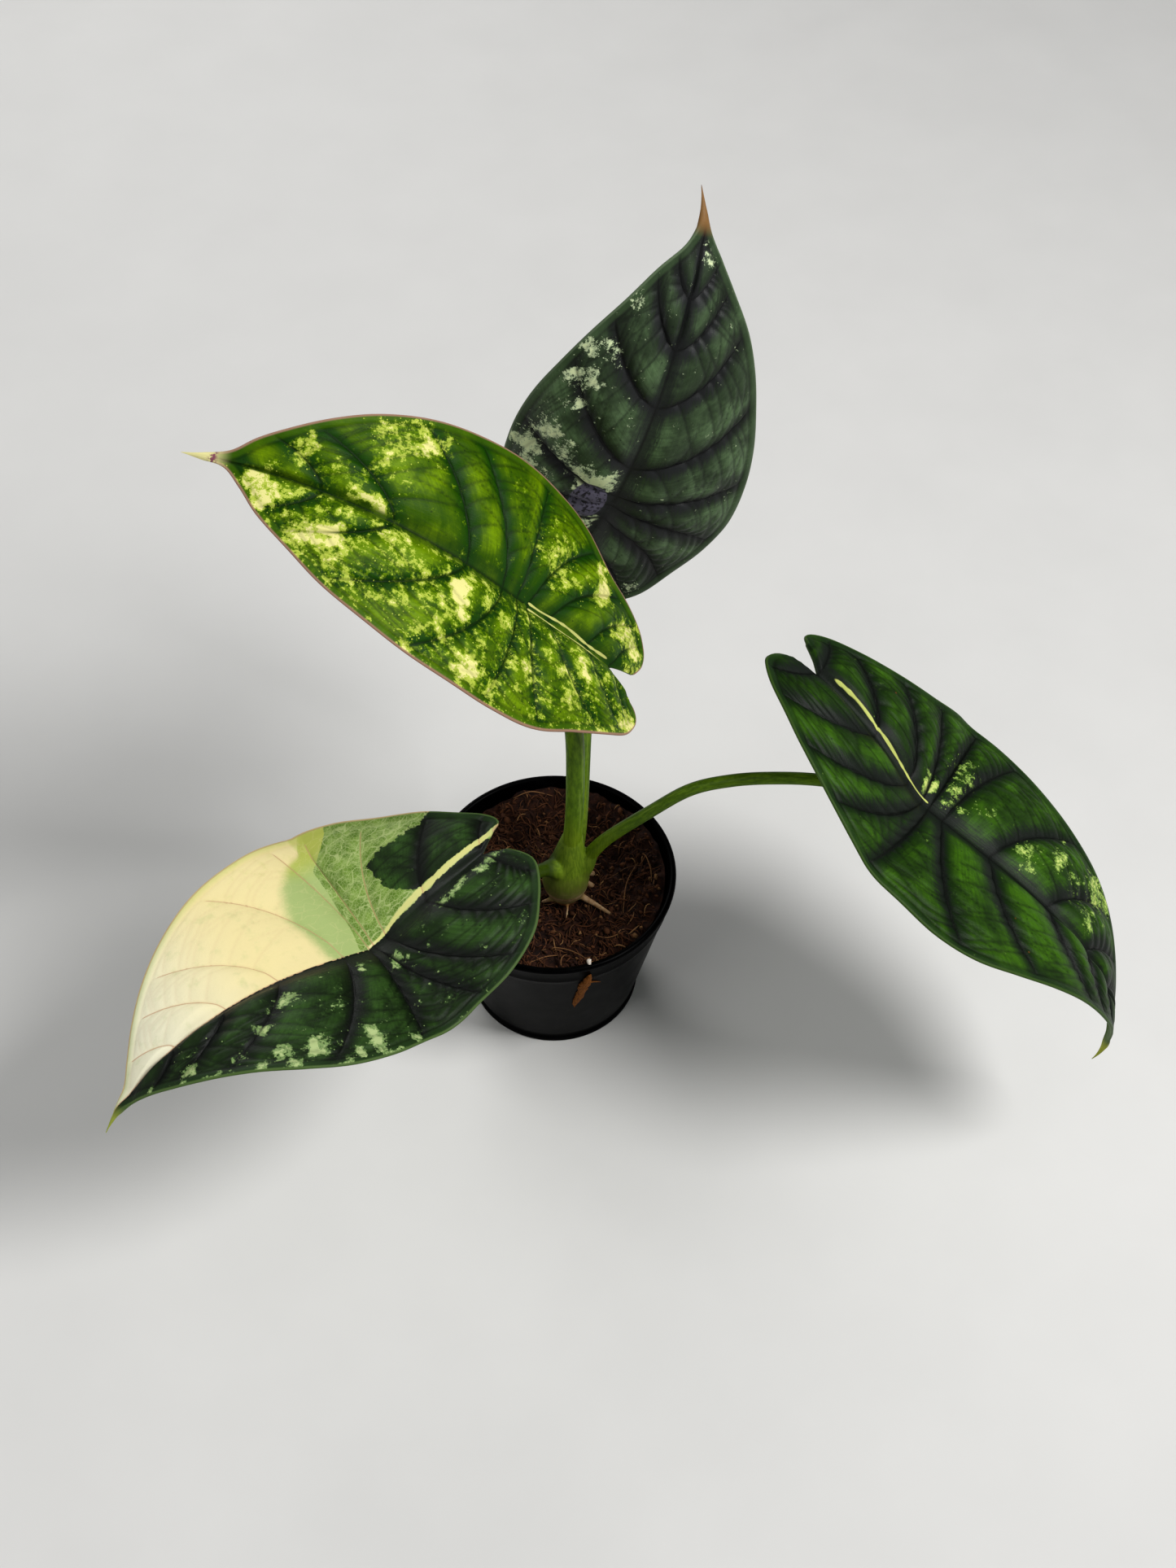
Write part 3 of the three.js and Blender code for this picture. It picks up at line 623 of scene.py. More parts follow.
def vein_values(number, grid, arcs, under):
    """(dark band beside the main veins, fine vein lines, 1 on the lower face)"""
    leaf, across = LEAVES[number], grid["across"]
    beside_a = np.where(grid["vein_a"], np.exp(-(grid["gap_a"] / BAND_WIDTH[number]) ** 1.5), 0)
    beside_b = np.where(grid["vein_b"], np.exp(-(grid["gap_b"] / 1.5) ** 1.5), 0)
    fade_out = 1 - 0.5 * smooth((across - 0.5) / 0.45)
    out = np.abs(grid["points"][..., 1])
    along = grid["points"][..., 0]
    taper = clamp01(1 - along / leaf["length"])
    rib = np.exp(-(out / (1.2 + 5.5 * taper)) ** 2)
    band = np.maximum(np.maximum(beside_a, beside_b) * fade_out, rib)
    lateral = np.exp(-(lateral_gap(grid) / 0.5) ** 2) * (1 - smooth((across - 0.88) / 0.1))
    line = np.maximum(lateral, 0.7 * arcs)
    line = np.maximum(line, np.exp(-(out / 0.6) ** 2) * (along > -0.5))
    line = np.maximum(line, 0.6 * np.exp(-((grid["rim"] - RIM_WIDTH) / 0.6) ** 2))
    return np.stack([band, line, np.full(band.shape, float(under))], -1)


def panel_values(grid, sign):
    """(length along the row, distance from the nearer lateral, panel number)"""
    near = np.minimum(grid["gap_a"], grid["gap_b"])
    number = sign * (grid["panel"] + 1.0)
    return np.stack([grid["run"], near, number], -1)


# How far behind the junction the pale seam reaches
SEAM_END = {1: 45, 2: 0, 3: 0, 4: 58}

# How far the edges of the patches wander, in mm
WANDER = {1: 1.8, 2: 1.3, 3: 0.8, 4: 1.2}
# How pale the left and the right half are beside their patches
PALE_BASE = {1: (0.38, 0.08), 2: (0.06, 0.0), 3: (0.15, 0.0), 4: (0.03, 0.02)}
# Where the pale patches lie, in mm: (along, out, half length, half width, strength)
PALE_PATCHES = {
    1: [(96, 6, 9, 6, 0.8), (87, -10, 3, 7, 0.6), (75, 5, 5, 3, 0.6), (75, -7, 6, 5, 0.5),
        (64, -2, 9, 2, 0.7), (76, 15, 12, 6, 0.8), (53, 5, 8, 6, 0.6), (62, -20, 9, 13, 0.52),
        (56, 26, 8, 8, 0.5), (52, -27, 6, 6, 0.75), (29, 13, 5, 8, 0.95), (36, 22, 9, 7, 0.6),
        (20, 35, 9, 5, 0.75), (9, 40, 6, 3, 0.6), (-4, 21, 4, 12, 0.6), (-21, 24, 7, 12, 0.6),
        (-28, 12, 3, 9, 0.7), (-33, -23, 6, 8, 0.85), (-12, -21, 13, 10, 0.52),
        (-51, -14, 9, 7, 0.8), (-54, 18, 6, 6, 0.8), (-56, -5, 5, 4, 0.6), (40, 32, 9, 5, 0.5)],
    2: [(80, 19, 4, 4, 0.45), (61, 25, 5, 5, 0.6), (48, 28, 4, 3, 0.6), (50, 24, 6, 3, 0.55),
        (39, 25, 3, 5, 0.6), (24, 30, 6, 5, 0.75), (11, 36, 6, 5, 0.9), (17, 22, 6, 4, 0.5),
        (10, 10, 5, 8, 0.85), (2, 13, 4, 3, 0.5), (0, 30, 8, 5, 0.5), (-16, 5, 5, 3, 0.8),
        (-43, -19, 6, 5, 0.5), (96, -3, 5, 3, 0.35)],
    3: [(41, 10, 6, 3, 0.7), (52, 15, 3.5, 2, 0.8), (42, 31, 4.5, 4.5, 0.85),
        (23, 35, 3.5, 5.5, 0.8), (52, 27, 3.5, 3, 0.7), (30, 39, 4.5, 2.5, 0.75),
        (62, 27.5, 3.5, 2, 0.7), (54, 33, 3.5, 2, 0.7), (38, 40, 6, 1.8, 0.65),
        (20, 43, 6, 1.6, 0.65), (77, 13, 3, 2.5, 0.75), (90, 7, 3, 1.5, 0.7),
        (82, 14, 3.5, 1.5, 0.7), (74, 20, 3.5, 1.5, 0.65), (-5, 11, 3, 4, 0.6),
        (9, 10, 1.5, 1.5, 0.7), (63, 21, 2.5, 2.5, 0.62), (9, 39, 2.5, 2.5, 0.6),
        (27, 20, 3, 3, 0.5), (-36, 4, 10, 2, 0.78), (-50, 4, 6, 2.5, 0.68)],
    4: [(-5, 8, 3, 4, 0.9), (1, 24, 7, 8, 0.45), (3, 12, 5, 7, 0.55), (15, 14, 5, 5, 0.4),
        (36, 10, 5, 6, 0.6), (47, 20, 4, 6, 0.6), (69, 27, 7, 9, 0.65), (56, 17, 6, 5, 0.5),
        (66, 10, 5, 5, 0.5), (46, 31, 2, 2, 0.7)],
}


def tone_values(number, grid, sign):
    """(how pale, 0, how far a pale seam shows), but on the right half of blade 3 the
    three distances of sector_values."""
    along, out = grid["points"][..., 0], sign * grid["points"][..., 1]
    if number == 3 and sign < 0:
        return np.stack(sector_values(along, out), -1)
    pale = np.full(along.shape, PALE_BASE[number][0 if sign > 0 else 1])
    far = WANDER[number]
    wavy_along = along + far * (np.sin(0.45 * out + 0.23 * along)
                                + 0.5 * np.sin(1.3 * out - 0.7 * along))
    wavy_out = out + far * (np.sin(0.41 * along - 0.27 * out)
                            + 0.5 * np.sin(1.2 * along + 0.9 * out))
    for at, off, long, wide, strength in PALE_PATCHES[number]:
        reach = ((wavy_along - at) / long) ** 2 + ((wavy_out - off) / wide) ** 2
        pale = np.maximum(pale, strength * np.exp(-0.6 * reach ** 1.3))
    return np.stack([pale, np.zeros_like(pale), seam_line(number, along, out)], -1)


def seam_line(number, along, out):
    """The pale line where the two lobes have grown together, on blades 1 and 4, and the
    wrinkled patch beside the junction of blade 2."""
    ends = smooth((-0.5 - along) / 2.5) * smooth((along + SEAM_END[number]) / 4)
    broken = 0.86 + 0.14 * np.sin(along * 0.9 + 2 * np.sin(along * 0.37))
    if number == 1:
        off = np.abs(out) - 1.1 - 0.25 * np.sin(along / 4)
        return ends * broken * np.exp(-(off / 0.56) ** 2)
    if number == 2:
        far = ((along + 2) / 9) ** 2 + ((out - 8.5) / 6) ** 2
        return smooth(1.6 - far) * smooth(out / 2) * smooth((15 + along) / 4)
    if number == 4:
        off = out - 2.3 - 0.5 * np.sin(along / 9)
        wide = np.interp(along, [-58, -50, -30, 0], [0.6, 0.85, 0.65, 0.42])
        return ends * broken * np.exp(-(off / wide) ** 2)
    return np.zeros_like(along)


def sector_values(along, out):
    """The right half of blade 3 as distances in mm into its dark parts, its ivory part
    with the cream band beside the seam, and its netted green part."""
    off, behind = -out, -along
    net_edge = np.interp(off, [0, 12, 25, 36, 38.5, 41, 44, 52],
                         [2.5, 1, -1, -2, -9, -14, -18, -24])
    ivory_edge = np.interp(off, [0, 4, 15, 19, 26, 32, 39, 42, 45, 49, 52],
                           [14, 16, 18, 19, 17, 14, 8, 4.5, -2, -9, -13])
    outer = np.interp(behind, [0, 3, 15, 26, 45], [0.9, 1.9, 4.1, 5.1, 4.8])
    inner = np.interp(behind, [0, 3, 15, 45], [0, 0.9, 2.5, 2.8])
    band = np.minimum(np.minimum(outer - off, off - inner), behind - 0.5)
    patch = np.minimum(behind - 19.5 - 0.6 * np.maximum(13 - off, 0), 24 - off) / 3
    strip = 2 * np.minimum(inner - off, behind - 1)
    dark = np.minimum(np.maximum(patch, strip), -band)
    net = np.minimum(net_edge - along, -band)
    ivory = np.maximum(along - ivory_edge, band)
    return dark, ivory, net


# Stems

def tube(path, radii, sides, rings):
    """A round tube along a smooth path. Returns vertices, faces and, for each vertex,
    (length from the foot, turn round the stem, 0)."""
    line = spline(path, CURVE_POINTS)
    run = length_along(line)
    at = np.linspace(0, run[-1], rings)
    centre = np.stack([np.interp(at, run, line[:, k]) for k in range(3)], 1)
    radius = np.interp(at / run[-1], np.linspace(0, 1, len(radii)), radii)
    ahead = np.gradient(centre, axis=0)
    ahead /= np.linalg.norm(ahead, axis=1, keepdims=True)
    side = np.cross(ahead[0], [0.3, 1, 0.2])
    rings_out, coords = [], []
    turn = np.linspace(0, 2 * np.pi, sides, endpoint=False)
    for c, a, r, s in zip(centre, ahead, radius, at):
        side = side - side.dot(a) * a
        side /= np.linalg.norm(side)
        other = np.cross(a, side)
        rings_out.append(c + r * (np.cos(turn)[:, None] * side + np.sin(turn)[:, None] * other))
        coords.append(np.stack([np.full(sides, s), turn, np.zeros(sides)], 1))
    vertices = np.concatenate(rings_out + [centre[:1], centre[-1:]])
    coords.append(np.array([[0, 0, 0], [run[-1], 0, 0]]))
    ends = rings * sides
    index = np.arange(ends).reshape(rings, sides)
    return vertices, skin(index, ends, ends + 1), np.concatenate(coords)


def petiole_line(number):
    """The centre line of a petiole, the length along it and its radius there."""
    foot, middle, top = PETIOLES[number]["radii"]
    leaf = LEAVES[number]
    end = np.array(leaf["junction"]) - PETIOLE_END * blade_basis(leaf)[2]
    line = spline(list(PETIOLES[number]["path"]) + [tuple(end)], 300)
    run = length_along(line)
    radius = middle + (foot - middle) * np.exp(-run / FOOT_FLARE)
    radius += (top - middle) * smooth(2 * run / run[-1] - 1)
    return line, run, radius


def build_petiole(number):
    """A petiole, drawn in a little where it ends inside its blade."""
    line, run, radius = petiole_line(number)
    radii = np.interp(np.linspace(0, run[-1], 60), run, radius)
    radii[-2:] *= [0.9, 0.7]
    vertices, faces, coords = tube(line, radii, *PETIOLE_MESH)
    return add_mesh(f"stalk_{number}", vertices, faces, stem=coords)


def build_crown():
    """The swollen base, the foot of each petiole and the stub roots, grown together."""
    parts = [crown_body()]
    parts += [petiole_foot(number, reach) for number, reach in FOOT_LENGTH.items()]
    for start, end, path in ROOTS:
        vertices, faces, _ = tube(path, [start, start * 0.4 + end * 0.6, end], *ROOT_MESH)
        parts.append(add_mesh("root", vertices, faces))
    crown = join(parts)
    remesh = crown.modifiers.new("grown together", "REMESH")
    remesh.mode = "VOXEL"
    remesh.voxel_size = CROWN_VOXEL * MM
    soften = crown.modifiers.new("soften", "SMOOTH")
    soften.iterations = CROWN_SOFTENING
    apply_modifiers(crown)
    return crown


def crown_body():
    """The swollen base alone, leaning a little to the right above its widest part."""
    section = [(r, z) for r, z in spline(CROWN_PROFILE, 60)]
    profile = [(0, CROWN_BOTTOM)] + section + [(0, CROWN_TOP)]
    vertices, faces = turned(profile, CROWN_SIDES)
    lean = CROWN_LEAN * np.maximum(vertices[:, 2] - CROWN_LEAN_FROM, 0)
    vertices = vertices + np.array([*CROWN_AT, 0])
    vertices[:, 0] += lean
    return add_mesh("crown_and_roots", vertices, faces)


def petiole_foot(number, reach):
    """The first part of a petiole, a little wider than the petiole itself at the crown."""
    line, run, radius = petiole_line(number)
    share = np.linspace(0, 1, 20)
    radii = np.interp(reach * share, run, radius) + 0.4 - 0.8 * share
    radii += FOOT_SWELL[number] * (1 - smooth((share - 0.3) / 0.7))
    vertices, faces, _ = tube(line[run <= reach], radii, *FOOT_MESH)
    return add_mesh("foot", vertices, faces)


def join(parts):
    """Several objects as one, which keeps the first one's name."""
    bpy.ops.object.select_all(action="DESELECT")
    for part in parts:
        part.select_set(True)
    bpy.context.view_layer.objects.active = parts[0]
    bpy.ops.object.join()
    return parts[0]


def apply_modifiers(piece):
    """Turns what the modifiers make into the piece's own mesh."""
    bpy.context.view_layer.update()
    graph = bpy.context.evaluated_depsgraph_get()
    mesh = bpy.data.meshes.new_from_object(piece.evaluated_get(graph))
    piece.modifiers.clear()
    piece.data = mesh
    mesh.polygons.foreach_set("use_smooth", [True] * len(mesh.polygons))


# Pot and soil

def turned(profile, sides):
    """A body turned about the z axis from (radius, height), axis to axis."""
    turn = np.linspace(0, 2 * np.pi, sides, endpoint=False)
    vertices = [(0, 0, profile[0][1])]
    for r, z in profile[1:-1]:
        vertices += [(r * math.cos(a), r * math.sin(a), z) for a in turn]
    vertices.append((0, 0, profile[-1][1]))
    rings = len(profile) - 2
    index = np.arange(rings * sides).reshape(rings, sides) + 1
    return np.array(vertices, float), skin(index, 0, len(vertices) - 1)


def arc(centre, radius, start, end, count):
    """Points on an arc from one angle to another, in degrees."""
    angles = np.radians(np.linspace(start, end, count))
    return [(centre[0] + radius * math.cos(a), centre[1] + radius * math.sin(a)) for a in angles]


def pot_outer(z):
    share = (z - POT_FOOT_HEIGHT) / (POT_SHOULDER_Z - POT_FOOT_HEIGHT)
    return POT_BASE_R + share * (POT_SHOULDER_R - POT_BASE_R)


def pot_inner(z):
    return pot_outer(z) - POT_WALL


def pot_profile():
    """The pot's section: out under the base, up the outside, round the bead of the rim,
    down the inside and in over the floor."""
    foot = POT_BASE_R + POT_FOOT_STEP
    collar = POT_SHOULDER_R + POT_COLLAR_STEP
    collar_z = POT_SHOULDER_Z + POT_CHAMFER
    bead = (POT_RIM_R - POT_BEAD_R, POT_HEIGHT - POT_BEAD_R)
    wall_foot = POT_FOOT_HEIGHT + POT_FOOT_STEP
    wall_up = [(pot_outer(z), z) for z in np.linspace(wall_foot, POT_SHOULDER_Z, 24)]
    floor_z = POT_FLOOR + POT_FILLET
    wall_down = [(pot_inner(z), z) for z in np.linspace(POT_SHOULDER_Z, floor_z, 16)]
    profile = [(0, 0), (8, 0), (16, 0), (foot - POT_CHAMFER - 0.1, 0)]
    profile += arc((foot - POT_CHAMFER, POT_CHAMFER), POT_CHAMFER, -90, 0, 7)
    profile += [(foot, POT_FOOT_HEIGHT - 0.1), (foot - 0.1, POT_FOOT_HEIGHT)] + wall_up
    profile += arc((collar - 0.3, collar_z), 0.3, -30, 0, 4)
    profile += [(collar, collar_z + 1), (collar, bead[1] - POT_BEAD_R - 0.3)]
    profile += arc(bead, POT_BEAD_R, -95, 150, 20)
    profile += [(collar - POT_WALL, bead[1] - POT_BEAD_R), (collar - POT_WALL, collar_z)]
    profile += wall_down
    profile += arc((pot_inner(POT_FLOOR) - POT_FILLET, floor_z), POT_FILLET, -10, -90, 5)
    return profile + [(16, POT_FLOOR), (8, POT_FLOOR), (0, POT_FLOOR)]


def drain_drill(number):
    """The rod that cuts one drain hole."""
    angle = 2 * math.pi * number / DRAIN_HOLES
    low, high = -2, POT_FLOOR + 2
    rod, faces = turned([(0, low), (DRAIN_R, low), (DRAIN_R, high), (0, high)], 40)
    shift = np.array([DRAIN_RING_R * math.cos(angle), DRAIN_RING_R * math.sin(angle), 0])
    return add_mesh("drill", rod + shift, faces)


def build_pot():
    """The pot with its drain holes."""
    pot = add_mesh("nursery_pot", *turned(pot_profile(), POT_SIDES))
    drill = join([drain_drill(i) for i in range(DRAIN_HOLES)])
    cut = pot.modifiers.new("drain holes", "BOOLEAN")
    cut.object = drill
    cut.operation = "DIFFERENCE"
    cut.solver = "EXACT"
    apply_modifiers(pot)
    bpy.data.objects.remove(drill)
    return pot


def bump(x, y):
    """The soil's soft waves."""
    return SOIL_BUMP * (0.45 * np.sin(0.31 * x + 1.1) * np.cos(0.27 * y)
                        + 0.35 * np.sin(0.62 * x - 0.45 * y + 2)
                        + 0.3 * np.cos(0.5 * x + 0.83 * y))


def crumbs(x, y):
    """Small lumps on the soil, from layered noise."""
    high = np.array([noise.fractal(Vector((a * 0.42, b * 0.42, 3.1)), 0.9, 2.2, 5)
                     for a, b in zip(x.ravel(), y.ravel())])
    return high.reshape(x.shape)


def soil_height(x, y):
    """The soil is heaped up against the wall at the back and on the right."""
    towards = np.cos(np.arctan2(y, x) - math.radians(HEAP_TURN))
    heap = HEAP * smooth((np.hypot(x, y) - 22) / 18) * smooth(0.4 + 0.9 * towards)
    return SOIL_Z + bump(x, y) + heap


def build_soil():
    """The soil as one body, with rings of equal area on its crumbly top."""
    edge = pot_inner(SOIL_Z - 2) - 0.2
    bottom = POT_FLOOR + SOIL_GAP
    profile = [(0, bottom), (pot_inner(bottom) - SOIL_GAP, bottom)]
    profile += [(pot_inner(z) - SOIL_GAP, z) for z in np.linspace(bottom + 1, SOIL_Z - 1, 10)]
    profile += [(edge * math.sqrt(1 - k / SOIL_RINGS), SOIL_Z) for k in range(SOIL_RINGS)]
    vertices, faces = turned(profile + [(0, SOIL_Z)], SOIL_SIDES)
    top = vertices[:, 2] > SOIL_Z - 0.5
    x, y = vertices[top, 0], vertices[top, 1]
    vertices[top, 2] = soil_height(x, y) + CRUMB_HEIGHT * crumbs(x, y) - 0.2
    return add_mesh("soil_bed", vertices, faces)


def soil_spot(random, limit):
    """A place on the soil at random, no further than limit from the middle."""
    r, angle = limit * math.sqrt(random.random()), 2 * math.pi * random.random()
    return np.array([r * math.cos(angle), r * math.sin(angle)])


# Strands that can be told apart on the soil: (x, y, height over it)
KNOWN_STRANDS = [
    [(-4, -29.4, 0.6), (1.5, -28.7, 1.6), (7.1, -30.6, 2.2), (12.4, -34.8, 3.4)],
    [(-8, -35, 0.4), (-2.3, -32.3, 1.2), (3.5, -31, 0.6)],
    [(32.5, 11, 0.4), (34, 8.4, 1.2), (35.6, 3.3, 1.6), (36, -2.1, 0.6)],
    [(25.6, -13, 0.4), (26.8, -1.1, 1.8), (31, 8, 0.8)],
    [(-16.1, 36, 0.5), (-9.4, 37.4, 1.8), (-1.2, 37, 0.7)],
    [(15, -22, 0.4), (20, -24.5, 1.4), (26, -22, 0.5)],
]


def loose_strand(random, long):
    """One strand on the soil, a long curl or a short piece, and its own shade."""
    half = random.uniform(6, 10) if long else random.uniform(0.8, 3.6)
    thick = random.uniform(0.1, 0.16) if long else random.uniform(0.12, 0.34)
    middle = soil_spot(random, STRAND_LIMIT - half * 0.85)
    heading = random.uniform(0, 2 * math.pi)
    curl = random.uniform(-1, 1) * (0.9 if long else 0.5)
    points = []
    for s in np.linspace(-1, 1, 7 if long else 5):
        direction = heading + curl * s
        x, y = middle + half * s * np.array([math.cos(direction), math.sin(direction)])
        lift = random.uniform(0, 1.6) * (1 - s * s) + random.uniform(-0.2, 0.5)
        points.append((x, y, soil_height(x, y) + lift))
    vertices, faces, _ = tube(points, [thick * 0.5, thick, thick * 0.5], 4, 9 if long else 6)
    return vertices, faces, (random.random(), random.random(), 0)


def known_strand(path):
    """One of the strands that can be told apart, and its pale shade."""
    points = [(x, y, soil_height(x, y) + lift) for x, y, lift in path]
    vertices, faces, _ = tube(points, [0.1, 0.2, 0.22, 0.18, 0.1], 6, 28)
    return vertices, faces, (0.9, 0.93, 0)


def build_fibres():
    """Coir strands lying on the soil, short ones everywhere and a few long curls."""
    random = np.random.default_rng(5)
    shapes = [loose_strand(random, i % LONG_EVERY == 0) for i in range(STRANDS)]
    shapes += [known_strand(path) for path in KNOWN_STRANDS]
    vertices, faces, shades = merged(shapes)
    return add_mesh("coir_fibres", vertices, faces, strand=shades)


def build_lumps():
    """Crumbs of coir pith and bark on the soil."""
    random = np.random.default_rng(11)
    shape, sides = ball(1)
    shapes = [loose_crumb(random, shape, sides, i % LARGE_EVERY == 0) for i in range(CRUMBS)]
    vertices, faces, shades = merged(shapes)
    return add_mesh("coir_crumbs", vertices, faces, strand=shades)


def loose_crumb(random, shape, sides, large):
    """One crumb, a rough flattened ball turned at random, and its own shade."""
    size = random.uniform(0.35, 1.0) + (0.9 * random.random() if large else 0)
    x, y = soil_spot(random, CRUMB_LIMIT - size)
    rough = 1 + 0.28 * random.standard_normal(len(shape)).clip(-1.5, 1.5)
    turn = np.array(Matrix.Rotation(random.uniform(0, 6.3), 3, random.standard_normal(3)))
    crumb = (shape * rough[:, None] * [1.35, 1, 0.7]) @ turn.T * size
    crumb = crumb + [x, y, soil_height(x, y) + random.uniform(-0.2, 0.5)]
    return crumb, sides, (random.random(), random.random(), 0)


def lump(centre, size, seed, flat):
    """One broken grain: a ball cut flat on nine sides and stretched by flat."""
    random = np.random.default_rng(seed)
    shape, faces = ball(3)
    axes = random.standard_normal((9, 3))
    axes /= np.linalg.norm(axes, axis=1, keepdims=True)
    cut = np.minimum(1, (0.72 / np.maximum(shape @ axes.T, 0.05)).min(1))
    return shape * cut[:, None] * flat * size + centre, faces


def build_perlite():
    """The white grain that lies on the rim at the front."""
    across = 13.4
    back = math.sqrt((POT_RIM_R - POT_BEAD_R - 0.6) ** 2 - across ** 2)
    grain = lump((across, -back, POT_HEIGHT + 0.9), 1.25, 3, (0.8, 0.75, 1.45))
    return add_mesh("perlite_grain", *grain)


def wall_point(x, z, off):
    """A point on the front of the pot's wall, off it by so many mm."""
    radius = (POT_SHOULDER_R + POT_COLLAR_STEP if z > POT_SHOULDER_Z - 1 else pot_outer(z)) + off
    return x, -math.sqrt(radius ** 2 - x ** 2), z


def build_bark():
    """A ragged flake of bark, with a twig, that clings to the wall of the pot."""
    spine = spline([(13.6, 60), (12.4, 56), (11.6, 50.5), (10.1, 42), (8.2, 34)], BARK_ROWS)
    random = np.random.default_rng(8)
    wide = np.interp(np.arange(BARK_ROWS), [0, 6, 20, 34, 40, 44], [0.5, 1.5, 2.1, 1.7, 1.2, 0.3])
    vertices = []
    for (x, z), half in zip(spine, wide):
        sides = half * (1 + random.uniform(-0.25, 0.25, 2))
        row = [(x + t * sides[int(t > 0)], z + 0.25 * half * t, t)
               for t in np.linspace(-1, 1, BARK_COLUMNS)]
        for reach, height, t in row:
            bulge = 0.35 + 0.8 * (1 - t * t) + random.uniform(-0.12, 0.12)
            vertices.append(wall_point(reach, height, bulge))
        vertices += [wall_point(reach, height, -0.15) for reach, height, _ in reversed(row)]
    index = np.arange(len(vertices)).reshape(BARK_ROWS, 2 * BARK_COLUMNS)
    faces = quads(np.concatenate([index, index[:, :1]], 1))
    faces += [index[0, ::-1].tolist(), index[-1].tolist()]
    twig = [wall_point(x, z, 0.3) for x, z in ((12.2, 53.5), (15, 53), (17.6, 50.5))]
    twig, twig_faces, _ = tube(twig, [0.35, 0.25, 0.12], 6, 14)
    vertices, faces, _ = merged([(vertices, faces, [0]), (twig, twig_faces, [0])])
    return add_mesh("bark_flake", vertices, faces)


# Materials

def tint(red, green, blue):
    """A colour from screen values of 0 to 255."""
    return tuple((c / 255) ** 2.2 for c in (red, green, blue)) + (1,)


class Nodes:
    """Adds nodes to one tree and wires them up."""

    def __init__(self, tree):
        self.tree = tree

    def feed(self, socket, value):
        """Links the socket to another one or sets its value."""
        if isinstance(value, bpy.types.NodeSocket):
            self.tree.links.new(value, socket)
        else:
            socket.default_value = value

    def add(self, kind, **inputs):
        """A shader node of that kind with these inputs."""
        node = self.tree.nodes.new("ShaderNode" + kind)
        for name, value in inputs.items():
            self.feed(node.inputs[name], value)
        return node

    def math(self, operation, *values):
        node = self.tree.nodes.new("ShaderNodeMath")
        node.operation = operation
        for socket, value in zip(node.inputs, values):
            self.feed(socket, value)
        return node.outputs[0]

    def times(self, first, second):
        return self.math("MULTIPLY", first, second)

    def swing(self, value, amount, base=0.0):
        """base and, on top, amount times how far value lies above one half."""
        return self.math("MULTIPLY_ADD", self.math("SUBTRACT", value, 0.5), amount, base)

    def mix(self, share, first, second):
        """The first colour, covered by the second as far as share says. The colours are
        the node's inputs 6 and 7, after those for numbers and vectors."""
        node = self.tree.nodes.new("ShaderNodeMix")
        node.data_type = "RGBA"
        for number, value in ((0, share), (6, first), (7, second)):
            self.feed(node.inputs[number], value)
        return node.outputs[2]

    def ease(self, value, low, high):
        """0 at low, 1 at high, smooth between."""
        node = self.tree.nodes.new("ShaderNodeMapRange")
        node.interpolation_type = "SMOOTHSTEP"
        for socket, given in zip(node.inputs, (value, low, high)):
            self.feed(socket, given)
        return node.outputs[0]

    def noise(self, vector, scale, detail=3, roughness=0.55):
        node = self.add("TexNoise", Vector=vector, Scale=scale, Detail=detail, Roughness=roughness)
        return node.outputs["Fac"]

    def cells(self, vector, scale, feature="F1"):
        """The outputs of a pattern of cells: distance from a cell's middle or edge, and
        its random colour."""
        node = self.add("TexVoronoi", Vector=vector, Scale=scale)
        node.feature = feature
        return node.outputs

    def vector(self, x, y, z):
        return self.add("CombineXYZ", X=x, Y=y, Z=z).outputs[0]

    def split(self, vector):
        return self.add("SeparateXYZ", Vector=vector).outputs

    def attribute(self, name):
        node = self.tree.nodes.new("ShaderNodeAttribute")
        node.attribute_name = name
        return node.outputs["Vector"]

    def group(self, tree, **inputs):
        """The outputs of a node group with these inputs."""
        node = self.tree.nodes.new("ShaderNodeGroup")
        node.node_tree = tree
        for name, value in inputs.items():
            self.feed(node.inputs[name], value)
        return node.outputs


def new_group(name, inputs, outputs):
    """An empty shader node group with named sockets: its nodes, inputs and outputs."""
    tree = bpy.data.node_groups.new(name, "ShaderNodeTree")
    for socket in inputs:
        kind = "NodeSocketVector" if socket == "Place" else "NodeSocketFloat"
        tree.interface.new_socket(socket, in_out="INPUT", socket_type=kind)
    for socket in outputs:
        tree.interface.new_socket(socket, in_out="OUTPUT", socket_type="NodeSocketFloat")
    sockets_in = tree.nodes.new("NodeGroupInput").outputs
    sockets_out = tree.nodes.new("NodeGroupOutput").inputs
    return tree, Nodes(tree), sockets_in, sockets_out


def comb_group():
    """Fine hatching square to the lateral veins and streaks along them, from 0 to 1."""
    tree, nodes, given, result = new_group("vein hatching", ["Run", "Near", "Panel"],
                                           ["Hatch", "Streak"])
    row = nodes.times(given["Panel"], PANEL_STEP)
    hatch = nodes.noise(nodes.vector(nodes.times(given["Run"], 1.5),
                                     nodes.times(given["Near"], 0.16), row), 1, 3, 0.6)
    streak = nodes.noise(nodes.vector(nodes.times(given["Run"], 0.1),
                                      nodes.times(given["Near"], 1.3), row), 1, 3, 0.6)
    nodes.feed(result["Hatch"], nodes.ease(hatch, 0.25, 0.75))
    nodes.feed(result["Streak"], nodes.ease(streak, 0.3, 0.7))
    return tree


